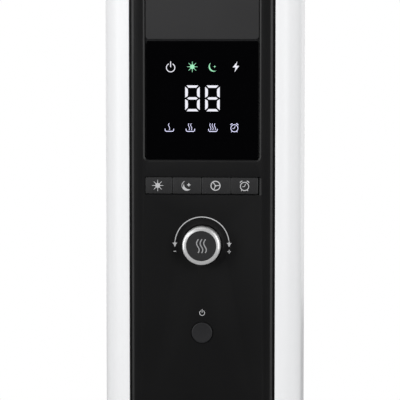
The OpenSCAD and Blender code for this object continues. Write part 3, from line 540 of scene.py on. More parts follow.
def make_finishes(colours):
    """One finish for each slot of the record, and the inks and lights of the symbols."""
    knob = middle("knob_ring")
    FINISHES.update({
        "black_plastic": moulded("black satin", colours.black, 0.44, grain=0.3, depth=0.015, specular=0.5),
        "white_plastic": white_gloss("white gloss", colours.white),
        "dark_plastic": moulded("dark moulding", (0.018, 0.018, 0.020), 0.5, grain=0.4, depth=0.02),
        "chassis_plastic": moulded("chassis moulding", (0.05, 0.05, 0.053), 0.6, grain=0.6, depth=0.03),
        "rubber": rubbery("foot rubber", (0.012, 0.012, 0.012)),
        "steel": brushed("zinc-plated steel", (0.60, 0.60, 0.62), 0.34),
        "inlay_grey": moulded("grey inlay", colours.grey, 0.55, grain=0.25, depth=0.012, specular=0.3),
        "display_black": black_acrylic("smoked acrylic", (0.0012, 0.0012, 0.0015)),
        "key_grey": moulded("key top", colours.key, 0.42, grain=0.22, depth=0.01, specular=0.45),
        "circuit_board": solder_mask("solder mask", (0.012, 0.10, 0.045)),
        "led_block": moulded("light block", (0.66, 0.66, 0.68), 0.5, grain=0.5),
        "component_black": moulded("component body", (0.02, 0.02, 0.022), 0.55, grain=0.3),
        "bright_ring": spun("diamond-cut ring", (0.92, 0.92, 0.93), knob, 0.18, 0.3, metallic=0.55),
        "heater_plastic": moulded("heat-proof moulding", (0.55, 0.50, 0.40), 0.6, grain=0.6),
        "aluminium": brushed("rolled aluminium", (0.78, 0.79, 0.81), 0.32, stretch=(1, 30, 1)),
        "ceramic": grained("sintered ceramic", (0.72, 0.69, 0.62), 0.5, (1.04, 0.8), 0.7, 0.02),
        "brass": brushed("turned brass", (0.72, 0.53, 0.24), 0.3, stretch=(20, 20, 1)),
        "copper_winding": winding("copper winding", (0.66, 0.29, 0.12)),
        "wheel_plastic": moulded("blower moulding", (0.03, 0.03, 0.033), 0.5, grain=0.5),
        "net": moulded("filter net", (0.022, 0.022, 0.024), 0.7, grain=0.3, depth=0.03),
        "wire": rubbery("wire sleeve", (0.30, 0.025, 0.02), 0.5),
        "knob face": spun("knob face", (0.026, 0.026, 0.027), knob, 0.5, 0.42, 0.0, 0.02),
        "ink": grained("printed symbols", colours.print_grey, 0.18, (1.06, 0.85), 0.5, 0.004),
        "knob ink": grained("knob symbol", shade(colours.print_grey, 0.62), 0.18, (1.06, 0.85), 0.5, 0.004),
        "lit_white": lit("lit white", colours.lit_white, 1.05),
        "lit_blue": lit("lit blue", colours.lit_blue, 1.35),
        "lit_green": lit("lit green", colours.lit_green, 1.0),
    })
    for node, piece in frame["nodes"].items():
        piece.data.materials.clear()
        piece.data.materials.append(FINISHES[SLOT_OF[node]])


# ---- pieces ----


def shell_surface(side, sizes, box_low, box_high):
    """Outer skin of a side shell. Along the plan path s the point is spine(s) + reach * n(s), where the
    spine is the line between the two corner centres and n turns a quarter at each end. Up the section t
    the reach stays at the corner radius, then rolls over the top edge and runs in to the spine."""
    corner, roll = sizes.corner, sizes.top_roll
    inner = side * (max(abs(box_low[0]), abs(box_high[0])) - corner)
    front, rear = box_low[1] + corner, box_high[1] - corner
    turn = np.linspace(0, math.pi / 2, 17)
    spine_y = np.concatenate([np.full(17, front), np.linspace(front, rear, 9)[1:-1], np.full(17, rear)])
    angle = np.concatenate([math.pi / 2 - turn, np.zeros(7), -turn])
    normal = np.stack([side * np.cos(angle), -np.sin(angle)], axis=1)
    bend = np.radians(np.linspace(0, 90, 13))
    rise = box_high[2] - roll
    reach = np.concatenate([np.full(2, corner), corner - roll + roll * np.cos(bend[1:]),
                            np.linspace(corner - roll, 0, 5)[1:]])
    z = np.concatenate([[box_low[2], rise], rise + roll * np.sin(bend[1:]), np.full(4, box_high[2])])
    x = inner + reach[None, :] * normal[:, 0, None]
    y = spine_y[:, None] + reach[None, :] * normal[:, 1, None]
    return np.stack([x, y, np.broadcast_to(z, x.shape)], axis=-1)


def make_shell(node, side, sizes):
    """Side shell: its outer skin, made solid inwards by the wall."""
    form = Form()
    form.grid(shell_surface(side, sizes, low(node), high(node)))
    form.made(node + "_skin", node, wall=sizes.wall, bevel=0.35 * MM)


def stepped(profile, outline):
    """Outlines in step down a profile of (outset, y): outline(outset) in the plane y."""
    return [in_front(outline(outset), y) for outset, y in profile]


def make_fascia(sizes):
    """Plate with five openings. Each opening and the outer edge is a wall run down its own profile of
    (outset, y), and the front and back faces are filled flat between the outlines."""
    front = low("front_fascia")[1]
    back = low("display_frame")[1]
    centre_z = middle("front_fascia")[2]
    width, _, height = extent("front_fascia")
    window_low, window_high = low("display_lens"), high("inlay_plate")
    edge, rim, nick = sizes.edge, sizes.rim, 0.3 * MM
    slope = math.tan(math.radians(28))
    window_gap, grille_gap, knob_gap = 0.5 * MM, 0.3 * MM, 0.8 * MM
    pocket, bushing_r = 1.2 * MM, 3.7 * MM
    button_gap = 0.2 * MM

    def rectangle(node_low, node_high, grow, radius):
        w, _, h = node_high - node_low + 2 * grow
        z = (node_low[2] + node_high[2]) / 2
        return lambda out: rounded_loop(w + 2 * out, h + 2 * out, max(radius + out, 0.05 * MM)) + (0, z)

    def round_hole(node, radius):
        return lambda out: circle_loop(radius + out, 64) + (0, middle(node)[2])

    def outer(out):
        tall = height + 2 * min(0, out + sizes.groove)
        return rounded_loop(width + 2 * out, tall, 0.4 * MM) + (0, centre_z)

    def key_well(out):
        across = window_high[0] - window_low[0] + 2 * window_gap
        tall = sizes.key + 0.5 * MM
        loop = rounded_loop(across + 1.3 * out, tall + 0.6 * out, 0.6 * MM + 0.9 * out)
        return loop + (0.6 * out, middle("key_heat")[2] - 0.25 * out)

    bevel = [(-edge, 0), (-edge + 0.2 * MM, 0.05 * MM), (-0.25 * MM, (edge - 0.35 * MM) * slope),
             (-0.06 * MM, (edge - 0.1 * MM) * slope), (0, (edge + 0.3 * MM) * slope), (0, 1.6 * MM)]
    outer_profile = [(out - sizes.groove, front + deep) for out, deep in bevel]
    outer_profile += [(0, front + 1.6 * MM), (0, back)]
    chamfer = [(rim, front), (rim - 0.15 * MM, front + 0.04 * MM),
               (0.15 * MM, front + (rim - 0.1 * MM) * slope), (0, front + (rim + 0.35 * MM) * slope),
               (0, back)]
    slim = [(nick, front), (0.1 * MM, front + 0.12 * MM), (0, front + 0.35 * MM), (0, back)]
    dish = [(1.1 * MM, front), (0.4 * MM, front + 0.15 * MM), (0, front + 0.5 * MM), (0, front + pocket)]
    holes = [
        (rectangle(window_low, window_high, window_gap, 3 * MM), chamfer),
        (key_well, chamfer),
        (round_hole("knob_ring", high("knob_ring")[0] + knob_gap), dish),
        (round_hole("power_switch", BUTTON_R + button_gap), slim),
        (rectangle(low("outlet_grille"), high("outlet_grille"), grille_gap, 1.5 * MM), slim),
    ]
    form = Form()
    form.loops(stepped(outer_profile, outer), caps=(False, False))
    for outline, profile in holes:
        form.loops(stepped(profile, outline), caps=(False, False))
    form.flat_between([outer(outer_profile[0][0])] + [o(p[0][0]) for o, p in holes], front)
    through = [o(0) for o, p in holes if p[-1][1] == back]
    bushing = round_hole("knob_ring", bushing_r)(0)
    form.flat_between([outer(0)] + through + [bushing], back)
    form.flat_between([holes[2][0](0), bushing], front + pocket)
    form.loops([in_front(bushing, y) for y in (front + pocket, back)], caps=(False, False))
    form.made("fascia_front", "front_fascia", crease=25)


def bevelled_plate(node, name, radius, bevel):
    """A plate with round corners and a rounded front edge: outlines inset by bevel (1 - sin a)."""
    w, _, h = extent(node)
    centre = middle(node)[[0, 2]]
    rows = [(bevel * (1 - math.sin(a)), low(node)[1] + bevel * (1 - math.cos(a)))
            for a in np.radians(np.linspace(0, 90, 5))]
    rows.append((0, high(node)[1]))
    form = Form()
    form.loops([in_front(rounded_loop(w - 2 * i, h - 2 * i, radius - i), y, centre) for i, y in rows])
    form.made(name, node)


def key_face(node, sizes):
    """Height of a key's top: its front plane, falling by crown * ((z - middle) / half height)^2."""
    top = low(node)[1]
    z0 = middle(node)[2]
    half = sizes.key / 2
    return lambda x, z: top + sizes.crown * ((np.asarray(z) - z0) / half) ** 2 + 0 * np.asarray(x)


def make_key(node, sizes):
    """Key cap: outlines inset step by step, rounded at the edge, then following the crowned top in to
    the middle line, with a skirt and a stem behind."""
    box_low, box_high = low(node), high(node)
    w, h = extent(node)[0], sizes.key
    centre = middle(node)[[0, 2]]
    face = key_face(node, sizes)
    flange = low("display_frame")[1] + SLIP
    soft, corner, lip_t, stem = 0.6, 0.9, 1.3 * MM, 1.7 * MM
    rows = []
    for inset in (6.2, 5.2, 4.2, 3.2, 2.2, 1.4, 0.9, 0.6, 0.35, 0.16, 0.04, 0.0):
        out = max(0.0, soft - inset)
        drop = soft - math.sqrt(max(0.0, soft * soft - out * out))
        loop = rounded_loop(w - 2 * inset * MM, h - 2 * inset * MM, max(corner - inset, 0.05) * MM, 5)
        point = in_front(loop, 0, centre)
        point[:, 1] = face(point[:, 0], point[:, 2]) + drop * MM
        rows.append(point)
    rows.append(in_front(rounded_loop(w, h, corner * MM, 5), flange, centre))
    form = Form()
    form.loops(rows)
    lip = rounded_loop(w, box_high[2] - box_low[2], 0.5 * MM, 5)
    form.loops([in_front(lip, y, centre) for y in (flange - APART, flange + lip_t)])
    form.revolve([(stem, flange + lip_t - APART), (stem, box_high[1])], centre, 32)
    form.made(node + "_cap", node, crease=35)


def make_knob():
    """Knob body and bright ring, both turned round the knob's axis."""
    centre = middle("knob_ring")[[0, 2]]
    outer, inner = extent("knob_ring")[0] / 2, extent("knob_body")[0] / 2
    tip, back = low("knob_ring")[1], high("knob_ring")[1]
    face = low("knob_body")[1]
    width = outer - inner
    ring = Form()
    ring.revolve([
        (inner, back), (outer - 0.3 * MM, back), (outer, back - 0.3 * MM), (outer, tip + 2.3 * MM),
        *[(outer - 1.6 * MM + 1.6 * MM * math.cos(a), tip + 2.0 * MM - 1.6 * MM * math.sin(a))
          for a in np.radians(np.linspace(0, 62, 7))],
        (inner + width * 0.36, tip + 0.22 * MM), (inner + width * 0.16, tip + 0.06 * MM),
        (inner + 0.2 * MM, tip), (inner, tip + 0.2 * MM), (inner, back)], centre, 160)
    ring.made("knob_ring_turned", "knob_ring", crease=50)
    cap = Form()
    cap.revolve([
        (0, face + 0.25 * MM), (inner * 0.35, face + 0.22 * MM), (inner * 0.7, face + 0.12 * MM),
        (inner - 0.5 * MM, face), (inner - 0.15 * MM, face + 0.08 * MM), (inner, face + 0.3 * MM),
        (inner, back), (inner - 2 * MM, back), (inner - 2 * MM, face + 4 * MM), (5 * MM, face + 4 * MM),
        (5 * MM, back - 0.4 * MM), (3 * MM, back - 0.4 * MM), (3 * MM, face + 3.2 * MM),
        (0, face + 3.2 * MM)], centre, 128)
    cap.made("knob_cap", "knob_body", finish="knob face", crease=40)


def make_button():
    """Power button: dished cap with a rounded rim, a retaining flange and a stem, turned as one."""
    box_low, box_high = low("power_button"), high("power_button")
    centre = middle("power_button")[[0, 2]]
    lip, lip_t, stem = 1.2 * MM, 1.5 * MM, 2 * MM
    top, radius = box_low[1], BUTTON_R
    flange = low("display_frame")[1] + SLIP
    form = Form()
    form.revolve([
        (0, top + 0.45 * MM), (radius * 0.5, top + 0.32 * MM), (radius * 0.82, top + 0.1 * MM),
        (radius - 0.75 * MM, top), (radius - 0.35 * MM, top + 0.06 * MM),
        (radius - 0.1 * MM, top + 0.25 * MM), (radius, top + 0.6 * MM), (radius, flange),
        (radius + lip, flange), (radius + lip, flange + lip_t), (stem, flange + lip_t), (stem, box_high[1]),
        (0, box_high[1])], centre, 96)
    form.made("power_button_cap", "power_button")


def slat(x0, x1, y, z, depth, thick, tilt):
    """Louvre: a stadium section (depth x thick) tilted about X, carried from x0 to x1."""
    half = depth / 2 - thick / 2
    ends = [arc((half, 0), thick / 2, -90, 90, 7), arc((-half, 0), thick / 2, 90, 270, 7)]
    section = np.concatenate(ends)
    c, s = math.cos(tilt), math.sin(tilt)
    across = section @ np.array([[c, s], [-s, c]])
    return np.stack([along_x(across + (y, z), x) for x in (x0, x1)])


def make_outlet():
    """Outlet: a frame run down a rounded profile, tilted louvres and two upright ribs."""
    box_low, box_high = low("outlet_grille"), high("outlet_grille")
    w, _, h = extent("outlet_grille")
    z0 = middle("outlet_grille")[2]
    front, back, rim = box_low[1], box_high[1], 3 * MM
    profile = [(0, back), (0, front + 0.8 * MM), (-0.2 * MM, front + 0.3 * MM), (-0.7 * MM, front),
               (-rim + 1.1 * MM, front + 0.3 * MM), (-rim + 0.2 * MM, front + 1.4 * MM),
               (-rim, front + 3 * MM), (-rim, back)]
    form = Form()
    form.loops(stepped(profile, lambda out: rounded_loop(w + 2 * out, h + 2 * out, 1.5 * MM) + (0, z0)),
               ring=True)
    inner_h = h - 2 * rim
    pitch, blade, blade_t, tilt = 9 * MM, 6 * MM, 1.4 * MM, math.radians(-35)
    tuck = 0.3 * MM
    count = int(inner_h / pitch)
    first = box_low[2] + rim + (inner_h - (count - 1) * pitch) / 2
    for i in range(count):
        form.loops(slat(box_low[0] + rim - tuck, box_high[0] - rim + tuck, front + 4.4 * MM,
                        first + i * pitch, blade, blade_t, tilt))
    for side in (-1, 1):
        x = side * (w - 2 * rim) / 6
        loop = rounded_loop(1.6 * MM, 4 * MM, 0.6 * MM, 4)
        ends = (box_low[2] + rim / 2, box_high[2] - rim / 2)
        form.loops([in_plan(loop, z, (x, front + 5 * MM)) for z in ends])
    form.made("outlet_louvres", "outlet_grille", crease=40)


def make_top(sizes):
    """Top cover: a section in Y and Z, rolled over at front and rear, carried across in X."""
    box_low, box_high = low("top_cover"), high("top_cover")
    roll = sizes.top_roll
    bend = np.radians(np.linspace(0, 90, 13))
    front = roll * np.stack([1 - np.cos(bend), np.sin(bend) - 1], axis=1) + (box_low[1], box_high[2])
    rear = front[::-1] * np.array([-1, 1]) + np.array([box_low[1] + box_high[1], 0])
    section = np.concatenate([[[box_low[1], box_low[2]]], front, rear, [[box_high[1], box_low[2]]]])
    form = Form()
    form.grid([along_x(section, x) for x in np.linspace(box_low[0], box_high[0], 7)])
    form.made("top_cap", "top_cover", wall=sizes.wall, bevel=0.4 * MM)


def make_base(sizes):
    """Base cover: plan outlines of a rounded rectangle, straight up, rolled over by the edge radius and
    in to the middle, and the same again inside by the wall, joined at the foot."""
    box_low, box_high = low("base_cover"), high("base_cover")
    w, d, _ = extent("base_cover")
    corner, roll, wall = sizes.base_corner, sizes.base_roll, sizes.wall
    bend = np.radians(np.linspace(0, 90, 9))
    outer = [(0.5 * MM, box_low[2]), (0.1 * MM, box_low[2] + 0.15 * MM), (0, box_low[2] + 0.5 * MM)]
    outer += [(roll * (1 - math.cos(a)), box_high[2] - roll + roll * math.sin(a)) for a in bend]
    last = corner - 2 * MM
    outer += [(roll + 6 * MM, box_high[2]), (last, box_high[2])]
    inner = [(last, box_high[2] - wall), (roll + 4 * MM, box_high[2] - wall)]
    inner += [(wall + (roll - wall) * (1 - math.cos(a)), box_high[2] - roll + (roll - wall) * math.sin(a))
              for a in bend[::-1]]
    inner += [(wall, box_low[2])]
    form = Form()
    upper = [in_plan(rounded_loop(w - 2 * i, d - 2 * i, corner - i, 16), z) for i, z in outer]
    under = [in_plan(rounded_loop(w - 2 * i, d - 2 * i, corner - i, 16), z) for i, z in inner]
    form.loops(upper, caps=(False, True))
    form.loops(under, caps=(True, False))
    form.loops([under[-1], upper[0]], caps=(False, False))
    form.made("base_shell", "base_cover", crease=30)


def make_screw_heads():
    """Rear screws: domed heads with a cross recess. Over (r, a) the head stands dome * (1 - (r / R)^2)
    proud, less the recess depth where the point lies within the cross."""
    box_low, box_high = low("rear_screws"), high("rear_screws")
    radius = 2.5 * MM
    x1 = box_high[0] - radius
    heights = sorted({round(float(v), 5) for v in screw_heights()})
    r = np.linspace(0, 1, 15)[1:, None] * radius
    a = np.linspace(0, 2 * math.pi, 64, endpoint=False)[None, :]
    x, z = r * np.cos(a), r * np.sin(a)
    slot, reach, soft = 0.42 * MM, 1.55 * MM, 0.12 * MM
    dome, recess, head, shank_share = 0.25 * MM, 0.7 * MM, 1.8 * MM, 0.52

    def within(u, v):
        return np.clip((slot - np.abs(u)) / soft, 0, 1) * np.clip((reach - np.abs(v)) / soft, 0, 1)

    cross = np.maximum(within(x, z), within(z, x))
    rise = dome * (1 - (r / radius) ** 2) - recess * cross
    top = box_high[1] - dome
    form = Form()
    for side in (-1, 1):
        for height in heights:
            rings = np.stack([x + side * x1, top + rise, z + height], axis=-1)
            centre = np.broadcast_to([side * x1, top + dome - recess, height], rings[:1].shape)
            skirt = np.array(rings[-1:])
            skirt[..., 1] = box_high[1] - head
            shank = np.stack([x[-1:] * shank_share + side * x1, skirt[..., 1],
                              z[-1:] * shank_share + height], axis=-1)
            tail = np.array(shank)
            tail[..., 1] = box_low[1]
            form.loops(np.concatenate([centre, rings, skirt, shank, tail]), caps=(False, True))
    form.made("rear_screw_heads", "rear_screws", crease=45)


def screw_heights():
    """Heights of the rear screws, from the middles of their mesh's separate heads."""
    mesh = frame["nodes"]["rear_screws"].data
    z = np.array([v.co.z for v in mesh.vertices])
    z.sort()
    groups = np.split(z, np.nonzero(np.diff(z) > 10 * MM)[0] + 1)
    return [(g[0] + g[-1]) / 2 for g in groups]


# ---- symbols ----


class Symbol:
    """Draws a symbol of a given size round a centre (x, z), as ribbons and patches on a surface."""

    def __init__(self, form, centre, size, face, ink, line):
        self.form = form
        self.centre = np.array(centre, float)
        self.size = size
        self.face = face
        self.ink = ink
        self.line = line

    def placed(self, points):
        return self.centre + np.asarray(points, float) * self.size

    def stroke(self, points, closed=False, width=1.0):
        self.form.ribbon(self.placed(points), self.line * width, self.face, self.ink, closed)

    def fill(self, points):
        self.form.patch(self.placed(points), self.face, self.ink)

    def power(self):
        """Open ring, a gap of 50 degrees at the top, and an upright bar through the gap."""
        self.stroke(arc((0, -0.08), 0.38, 117, 423, 40), width=0.8)
        self.stroke([(0, -0.04), (0, 0.2), (0, 0.48)], width=0.85)

    def sun(self, ray=0.75):
        """Disc and eight rays at even angles, each tapering outwards."""
        self.fill(arc((0, 0), 0.215, 0, 360, 33)[:-1])
        half = self.line / self.size / 2 * ray
        for turn in range(0, 360, 45):
            way, side = heading(turn), heading(turn + 90)
            self.fill([way * 0.2 + side * half, way * 0.2 - side * half,
                       way * 0.5 - side * half * 0.6, way * 0.5 + side * half * 0.6])

    def moon(self, thick=0.27, open_half=78, star=0.21, star_at=(0.2, 0.08)):
        """Crescent between two circles that meet at its tips: thick at its back, with a mouth of twice
        open_half degrees, and a small star in the mouth."""
        lean = 34.5
        tip_x = 0.5 * math.cos(math.radians(open_half))
        gap = (0.25 - (0.5 - thick) ** 2) / (1 - 2 * thick + 2 * tip_x)
        small = 0.5 - thick + gap
        half_small = math.degrees(math.acos((tip_x - gap) / small))
        outer = arc((0, 0), 0.5, lean + open_half, lean + 360 - open_half, 36)
        inner = arc(gap * heading(lean), small, lean + 360 - half_small, lean + half_small, 30)
        self.fill(np.concatenate([outer, inner[1:-1]]))
        self.star(star_at, star)

    def star(self, at, radius):
        """Four-pointed star: points on two circles by turns."""
        turn = np.radians(np.arange(8) * 45 + 90)
        reach = np.where(np.arange(8) % 2 == 0, radius, radius * 0.42)
        self.fill(np.array(at) + reach[:, None] * np.stack([np.cos(turn), np.sin(turn)], axis=1))

    def bolt(self):
        """Lightning bolt: two slanted blades that overlap at the middle."""
        self.fill([(0.13, 0.5), (-0.3, -0.05), (-0.03, -0.05), (-0.13, -0.5), (0.3, 0.1), (0.03, 0.1)])

    def wave(self, x, bottom, swing, width, turns=1.0, start=0.0, steps=22):
        """Rising warm air: x - swing sin(2 pi (turns t + start)) as t goes from the top to the bottom."""
        t = np.linspace(0, 1, steps)
        across = x - swing * np.sin(2 * math.pi * (turns * t + start))
        self.stroke(np.stack([across, 0.5 + (bottom - 0.5) * t], axis=1), width=width)

    def heater(self, waves):
        """Tray with upturned ends and one to three waves above it."""
        tray = np.array([(0.52, -0.14), (0.5, -0.34), (0.42, -0.45)])
        self.stroke(np.concatenate([tray * (-1, 1), tray[::-1]]), width=0.85)
        for k in range(waves):
            self.wave((k - (waves - 1) / 2) * 0.27 - 0.03, -0.3, 0.07, 0.65)

    def clock(self):
        """Alarm clock: ring, two hands, two bells and two feet."""
        self.stroke(arc((0, -0.05), 0.385, 0, 360, 41)[:-1], closed=True, width=0.85)
        self.stroke([(0.09, 0.18), (0.05, 0.08), (0, -0.06)], width=0.65)
        self.stroke([(0.0, -0.06), (-0.08, -0.07), (-0.2, -0.08)], width=0.65)
        for side in (-1, 1):
            self.stroke([(side * 0.2, 0.45), (side * 0.32, 0.41), (side * 0.42, 0.3)], width=0.9)
            self.stroke([(side * 0.26, -0.36), (side * 0.29, -0.43), (side * 0.32, -0.48)], width=0.7)

    def wheel(self):
        """Fan: ring with three spokes and a hub."""
        self.stroke(arc((0, 0), 0.43, 0, 360, 49)[:-1], closed=True, width=1.0)
        self.fill(arc((0, 0), 0.09, 0, 360, 17)[:-1])
        for turn in (5, 125, 245):
            way = heading(turn)
            self.stroke([way * 0.05, way * 0.22, way * 0.42], width=0.8)

    def warm_air(self):
        """Three tall waves side by side."""
        for k in (-1, 0, 1):
            self.wave(k * 0.26 + 0.02, -0.5, 0.095, 1.0, turns=1.03, start=-0.06, steps=26)

    def seven_bars(self, height, upright):
        """Seven-segment eight: bars with mitred ends inside a box one size wide and height tall."""
        a, b, t = 0.5, height / self.size / 2, upright / self.size
        thin, nick = t * 0.84, 0.09
        top = [(-a + nick, b), (a - nick, b), (a - t - nick / 2, b - thin), (-a + t + nick / 2, b - thin)]
        side = [(-a, b - nick), (-a + t * 0.9, b - thin - nick), (-a + t, b / 2), (-a + t * 0.9, 0.16),
                (-a, 0.05)]
        self.fill([(-a + 0.13, 0), (-a + 0.25, thin / 2), (a - 0.25, thin / 2), (a - 0.13, 0),
                   (a - 0.25, -thin / 2), (-a + 0.25, -thin / 2)])
        for flip in (1, -1):
            self.fill(np.array(top) * (1, flip))
            for mirror in (1, -1):
                self.fill(np.array(side) * (mirror, flip))


def flat(y):
    """A flat face at y."""
    return lambda x, z: np.full(np.shape(x), y)


def display_symbols(sizes):
    """Symbols and digits shining through the display, in three rows. Sizes and places across are in mm."""
    face = flat(low("display_lens")[1])
    top = high("display_lens")[2]
    upper, digits, lower = top - 19.4 * MM, top - 43 * MM, top - 64.9 * MM
    rows = {"lit_white": Form(), "lit_green": Form(), "lit_blue": Form()}

    def symbol(light, x, z, size, line=1.0):
        return Symbol(rows[light], (x * MM, z), size * MM, face, sizes.ink, sizes.line * line)

    symbol("lit_white", -23.6, upper, 8.3).power()
    symbol("lit_green", -7.35, upper, 7.9).sun(0.6)
    symbol("lit_green", 8.5, upper, 7.2).moon(0.15, 86, 0.13, (0.13, 0.02))
    symbol("lit_white", 25.3, upper, 8.0).bolt()
    for digit_x in (-7.25, 7.75):
        symbol("lit_white", digit_x, digits, 10.9).seven_bars(19.4 * MM, sizes.segment)
    for waves, x in ((1, -24.6), (2, -8.8), (3, 8.1)):
        symbol("lit_blue", x, lower, 6.3, 0.75).heater(waves)
    symbol("lit_blue", 24.2, lower, 6.9, 0.7).clock()
    for light, form in rows.items():
        form.made(light + "_symbols", "icon_leds", finish=light, stands_for=False, crease=60)


def key_symbols(sizes):
    """One printed symbol in the middle of each key."""
    drawings = {"key_heat": ("sun", 8.5, -0.7), "key_sleep": ("moon", 7.7, -0.1),
                "key_fan": ("wheel", 7.9, -0.5), "key_timer": ("clock", 8.1, 0.0)}
    for node, (drawing, size, shift) in drawings.items():
        form = Form()
        centre = middle(node)[[0, 2]] + np.array([shift * MM, 0])
        symbol = Symbol(form, centre, size * MM, key_face(node, sizes), sizes.ink, sizes.line)
        getattr(symbol, drawing)()
        form.made(node + "_symbol", node, finish="ink", stands_for=False, crease=60)


def dial_print(sizes):
    """Round the knob: a half circle with an arrowhead at each end, and a minus and a plus below."""
    face = flat(low("front_fascia")[1])
    centre = middle("knob_ring")[[0, 2]] + np.array([0, 1.0 * MM])
    form = Form()
    mark = Symbol(form, centre, MM, face, sizes.ink, sizes.line)
    reach, drop = 20.4, -0.4
    mark.stroke(arc((0, drop), reach, 5, 175, 72), width=0.9)
    for side in (-1, 1):
        tip = np.array([side * (reach + 0.05), drop])
        half = np.array([(0.4, 2.6), (0.5, 0.95), (1.9, 0.85), (1.0, 0.0), (0.25, -2.0)])
        mark.fill(tip + np.concatenate([half, half[::-1] * (-1, 1)]))
        mark.stroke(tip + [(-1.1 - side * 0.15, -5.6), (0, -5.6), (1.1 + side * 0.15, -5.6)], width=0.7)
    mark.stroke(tip + [(0, -4.25), (0, -5.6), (0, -6.95)], width=0.8)
    button = middle("power_button")[[0, 2]]
    small = (button[0] + 0.1 * MM, button[1] + 15.4 * MM)
    Symbol(form, small, 5.0 * MM, face, sizes.ink, sizes.line * 0.75).power()
    form.made("dial_print", "front_fascia", finish="ink", stands_for=False, crease=60)
    heat = Form()
    bowl = flat(low("knob_body")[1] + 0.22 * MM)
    Symbol(heat, middle("knob_ring")[[0, 2]], 10.3 * MM, bowl, sizes.ink * 3, sizes.line * 1.1).warm_air()
    heat.made("knob_symbol", "knob_body", finish="knob ink", stands_for=False, crease=60)


# ---- stage ----


def softbox(name, place, aim, width, height, watts):
    """Rectangular studio light at a place, turned towards a point."""
    data = bpy.data.lights.new(name, "AREA")
    data.shape = "RECTANGLE"
    data.size, data.size_y = width, height
    data.energy = watts
    lamp = bpy.data.objects.new(name, data)
    bpy.context.scene.collection.objects.link(lamp)
    lamp.location = place
    lamp.visible_camera = False
    lamp.rotation_euler = (Vector(aim) - Vector(place)).to_track_quat("-Z", "Y").to_euler()


def make_floor():
    """Pale round floor, a turned disc with a soft edge, level with the feet."""
    top, edge = (-0.0002, -0.01)
    rows = [in_plan(circle_loop(radius), top) for radius in (1e-4, 0.5, 1.0, 1.38)]
    form = Form()
    form.loops([*rows, in_plan(circle_loop(1.4), edge)], caps=(True, False))
    mesh = form.mesh("floor")
    mesh.shade_smooth()
    floor = bpy.data.objects.new("floor", mesh)
    bpy.context.scene.collection.objects.link(floor)
    floor.visible_glossy = False
    made = Finish("pale floor", Specular_IOR_Level=0.2)
    cloud = made.noise(0.3, 3.0)
    made.colour(made.between(cloud, (0.80, 0.80, 0.80), (0.83, 0.83, 0.83)))
    made.set("Roughness", cloud * 0.1 + 0.55)
    mesh.materials.append(made.material)


def make_world(fill, backdrop):
    """White to the camera, and an even fill for everything else, which no gloss mirrors."""
    world = bpy.data.worlds.new("studio")
    bpy.context.scene.world = world
    world.cycles_visibility.glossy = False
    world.use_nodes = True
    tree = world.node_tree
    tree.nodes.clear()
    seen = tree.nodes.new("ShaderNodeLightPath")
    mix = tree.nodes.new("ShaderNodeMixShader")
    out = tree.nodes.new("ShaderNodeOutputWorld")
    tree.links.new(seen.outputs["Is Camera Ray"], mix.inputs[0])
    for slot, value in ((1, fill), (2, backdrop)):
        background = tree.nodes.new("ShaderNodeBackground")
        background.inputs["Color"].default_value = (1, 1, 1, 1)
        background.inputs["Strength"].default_value = value
        tree.links.new(background.outputs[0], mix.inputs[slot])
    tree.links.new(mix.outputs[0], out.inputs[0])


def make_camera():
    """Long lens, a little to the right of the front and a little above the control panel."""
    data = bpy.data.cameras.new("camera")
    camera = bpy.data.objects.new("camera", data)
    bpy.context.scene.collection.objects.link(camera)
    away, shown = 1.7, 0.3002
    azimuth, elevation = math.radians(3.9), math.radians(4.8)
    aim_left, aim_drop = 1.5 * MM, 10.8 * MM
    aim = Vector((-aim_left, low("front_fascia")[1], middle("key_heat")[2] - aim_drop))
    back = Vector((math.sin(azimuth) * math.cos(elevation), -math.cos(azimuth) * math.cos(elevation),
                   math.sin(elevation)))
    camera.location = aim + back * away
    camera.rotation_mode = "QUATERNION"
    camera.rotation_quaternion = (-back).to_track_quat("-Z", "Y")
    data.sensor_width = 36
    data.lens = 36 * away / shown
    data.clip_start, data.clip_end = 0.05, 50
    bpy.context.scene.camera = camera


def make_lights():
    """Tall softboxes left and right of the front, two small near ones at the upper left, and a wide one
    behind."""
    softbox("left softbox", (-1.6, -1.05, 0.75), (0, 0, 0.4), 0.5, 1.6, 10.8)
    softbox("right softbox", (1.35, -1.3, 0.75), (0, 0, 0.4), 0.5, 1.6, 11)
    softbox("near softbox", (-0.42, -0.75, 0.72), (-0.03, -0.05, 0.5), 0.25, 0.25, 0.48)
    softbox("upper softbox", (-0.15, -0.5, 1.05), (-0.03, -0.05, 0.55), 0.4, 0.3, 0.35)
    softbox("rear softbox", (0, 2.2, 0.9), (0, 0, 0.4), 3.2, 1.8, 19)


# ---- operators ----


def sizes():
    """The sizes as the sidebar has them."""
    return bpy.context.scene.heater_sizes


class HeaterStage(bpy.types.Operator):
    """Sets up the floor, the background, the lights and the camera"""

    bl_idname = "heater.stage"
    bl_label = "Stage"

    def execute(self, context):
        make_camera()
        make_floor()
        make_world(fill=0.61, backdrop=1.0)
        make_lights()
        context.scene.view_settings.view_transform = "Standard"
        return {"FINISHED"}


class HeaterFinishes(bpy.types.Operator):
    """Makes every finish and gives each frame node its own"""

    bl_idname = "heater.finishes"
    bl_label = "Finishes"

    def execute(self, context):
        make_finishes(context.scene.heater_colours)
        return {"FINISHED"}


class HeaterShells(bpy.types.Operator):
    """Makes the two white side shells and the top cover"""

    bl_idname = "heater.shells"
    bl_label = "Shells"

    def execute(self, context):
        make_shell("left_shell", -1, sizes())
        make_shell("right_shell", 1, sizes())
        make_top(sizes())
        return {"FINISHED"}


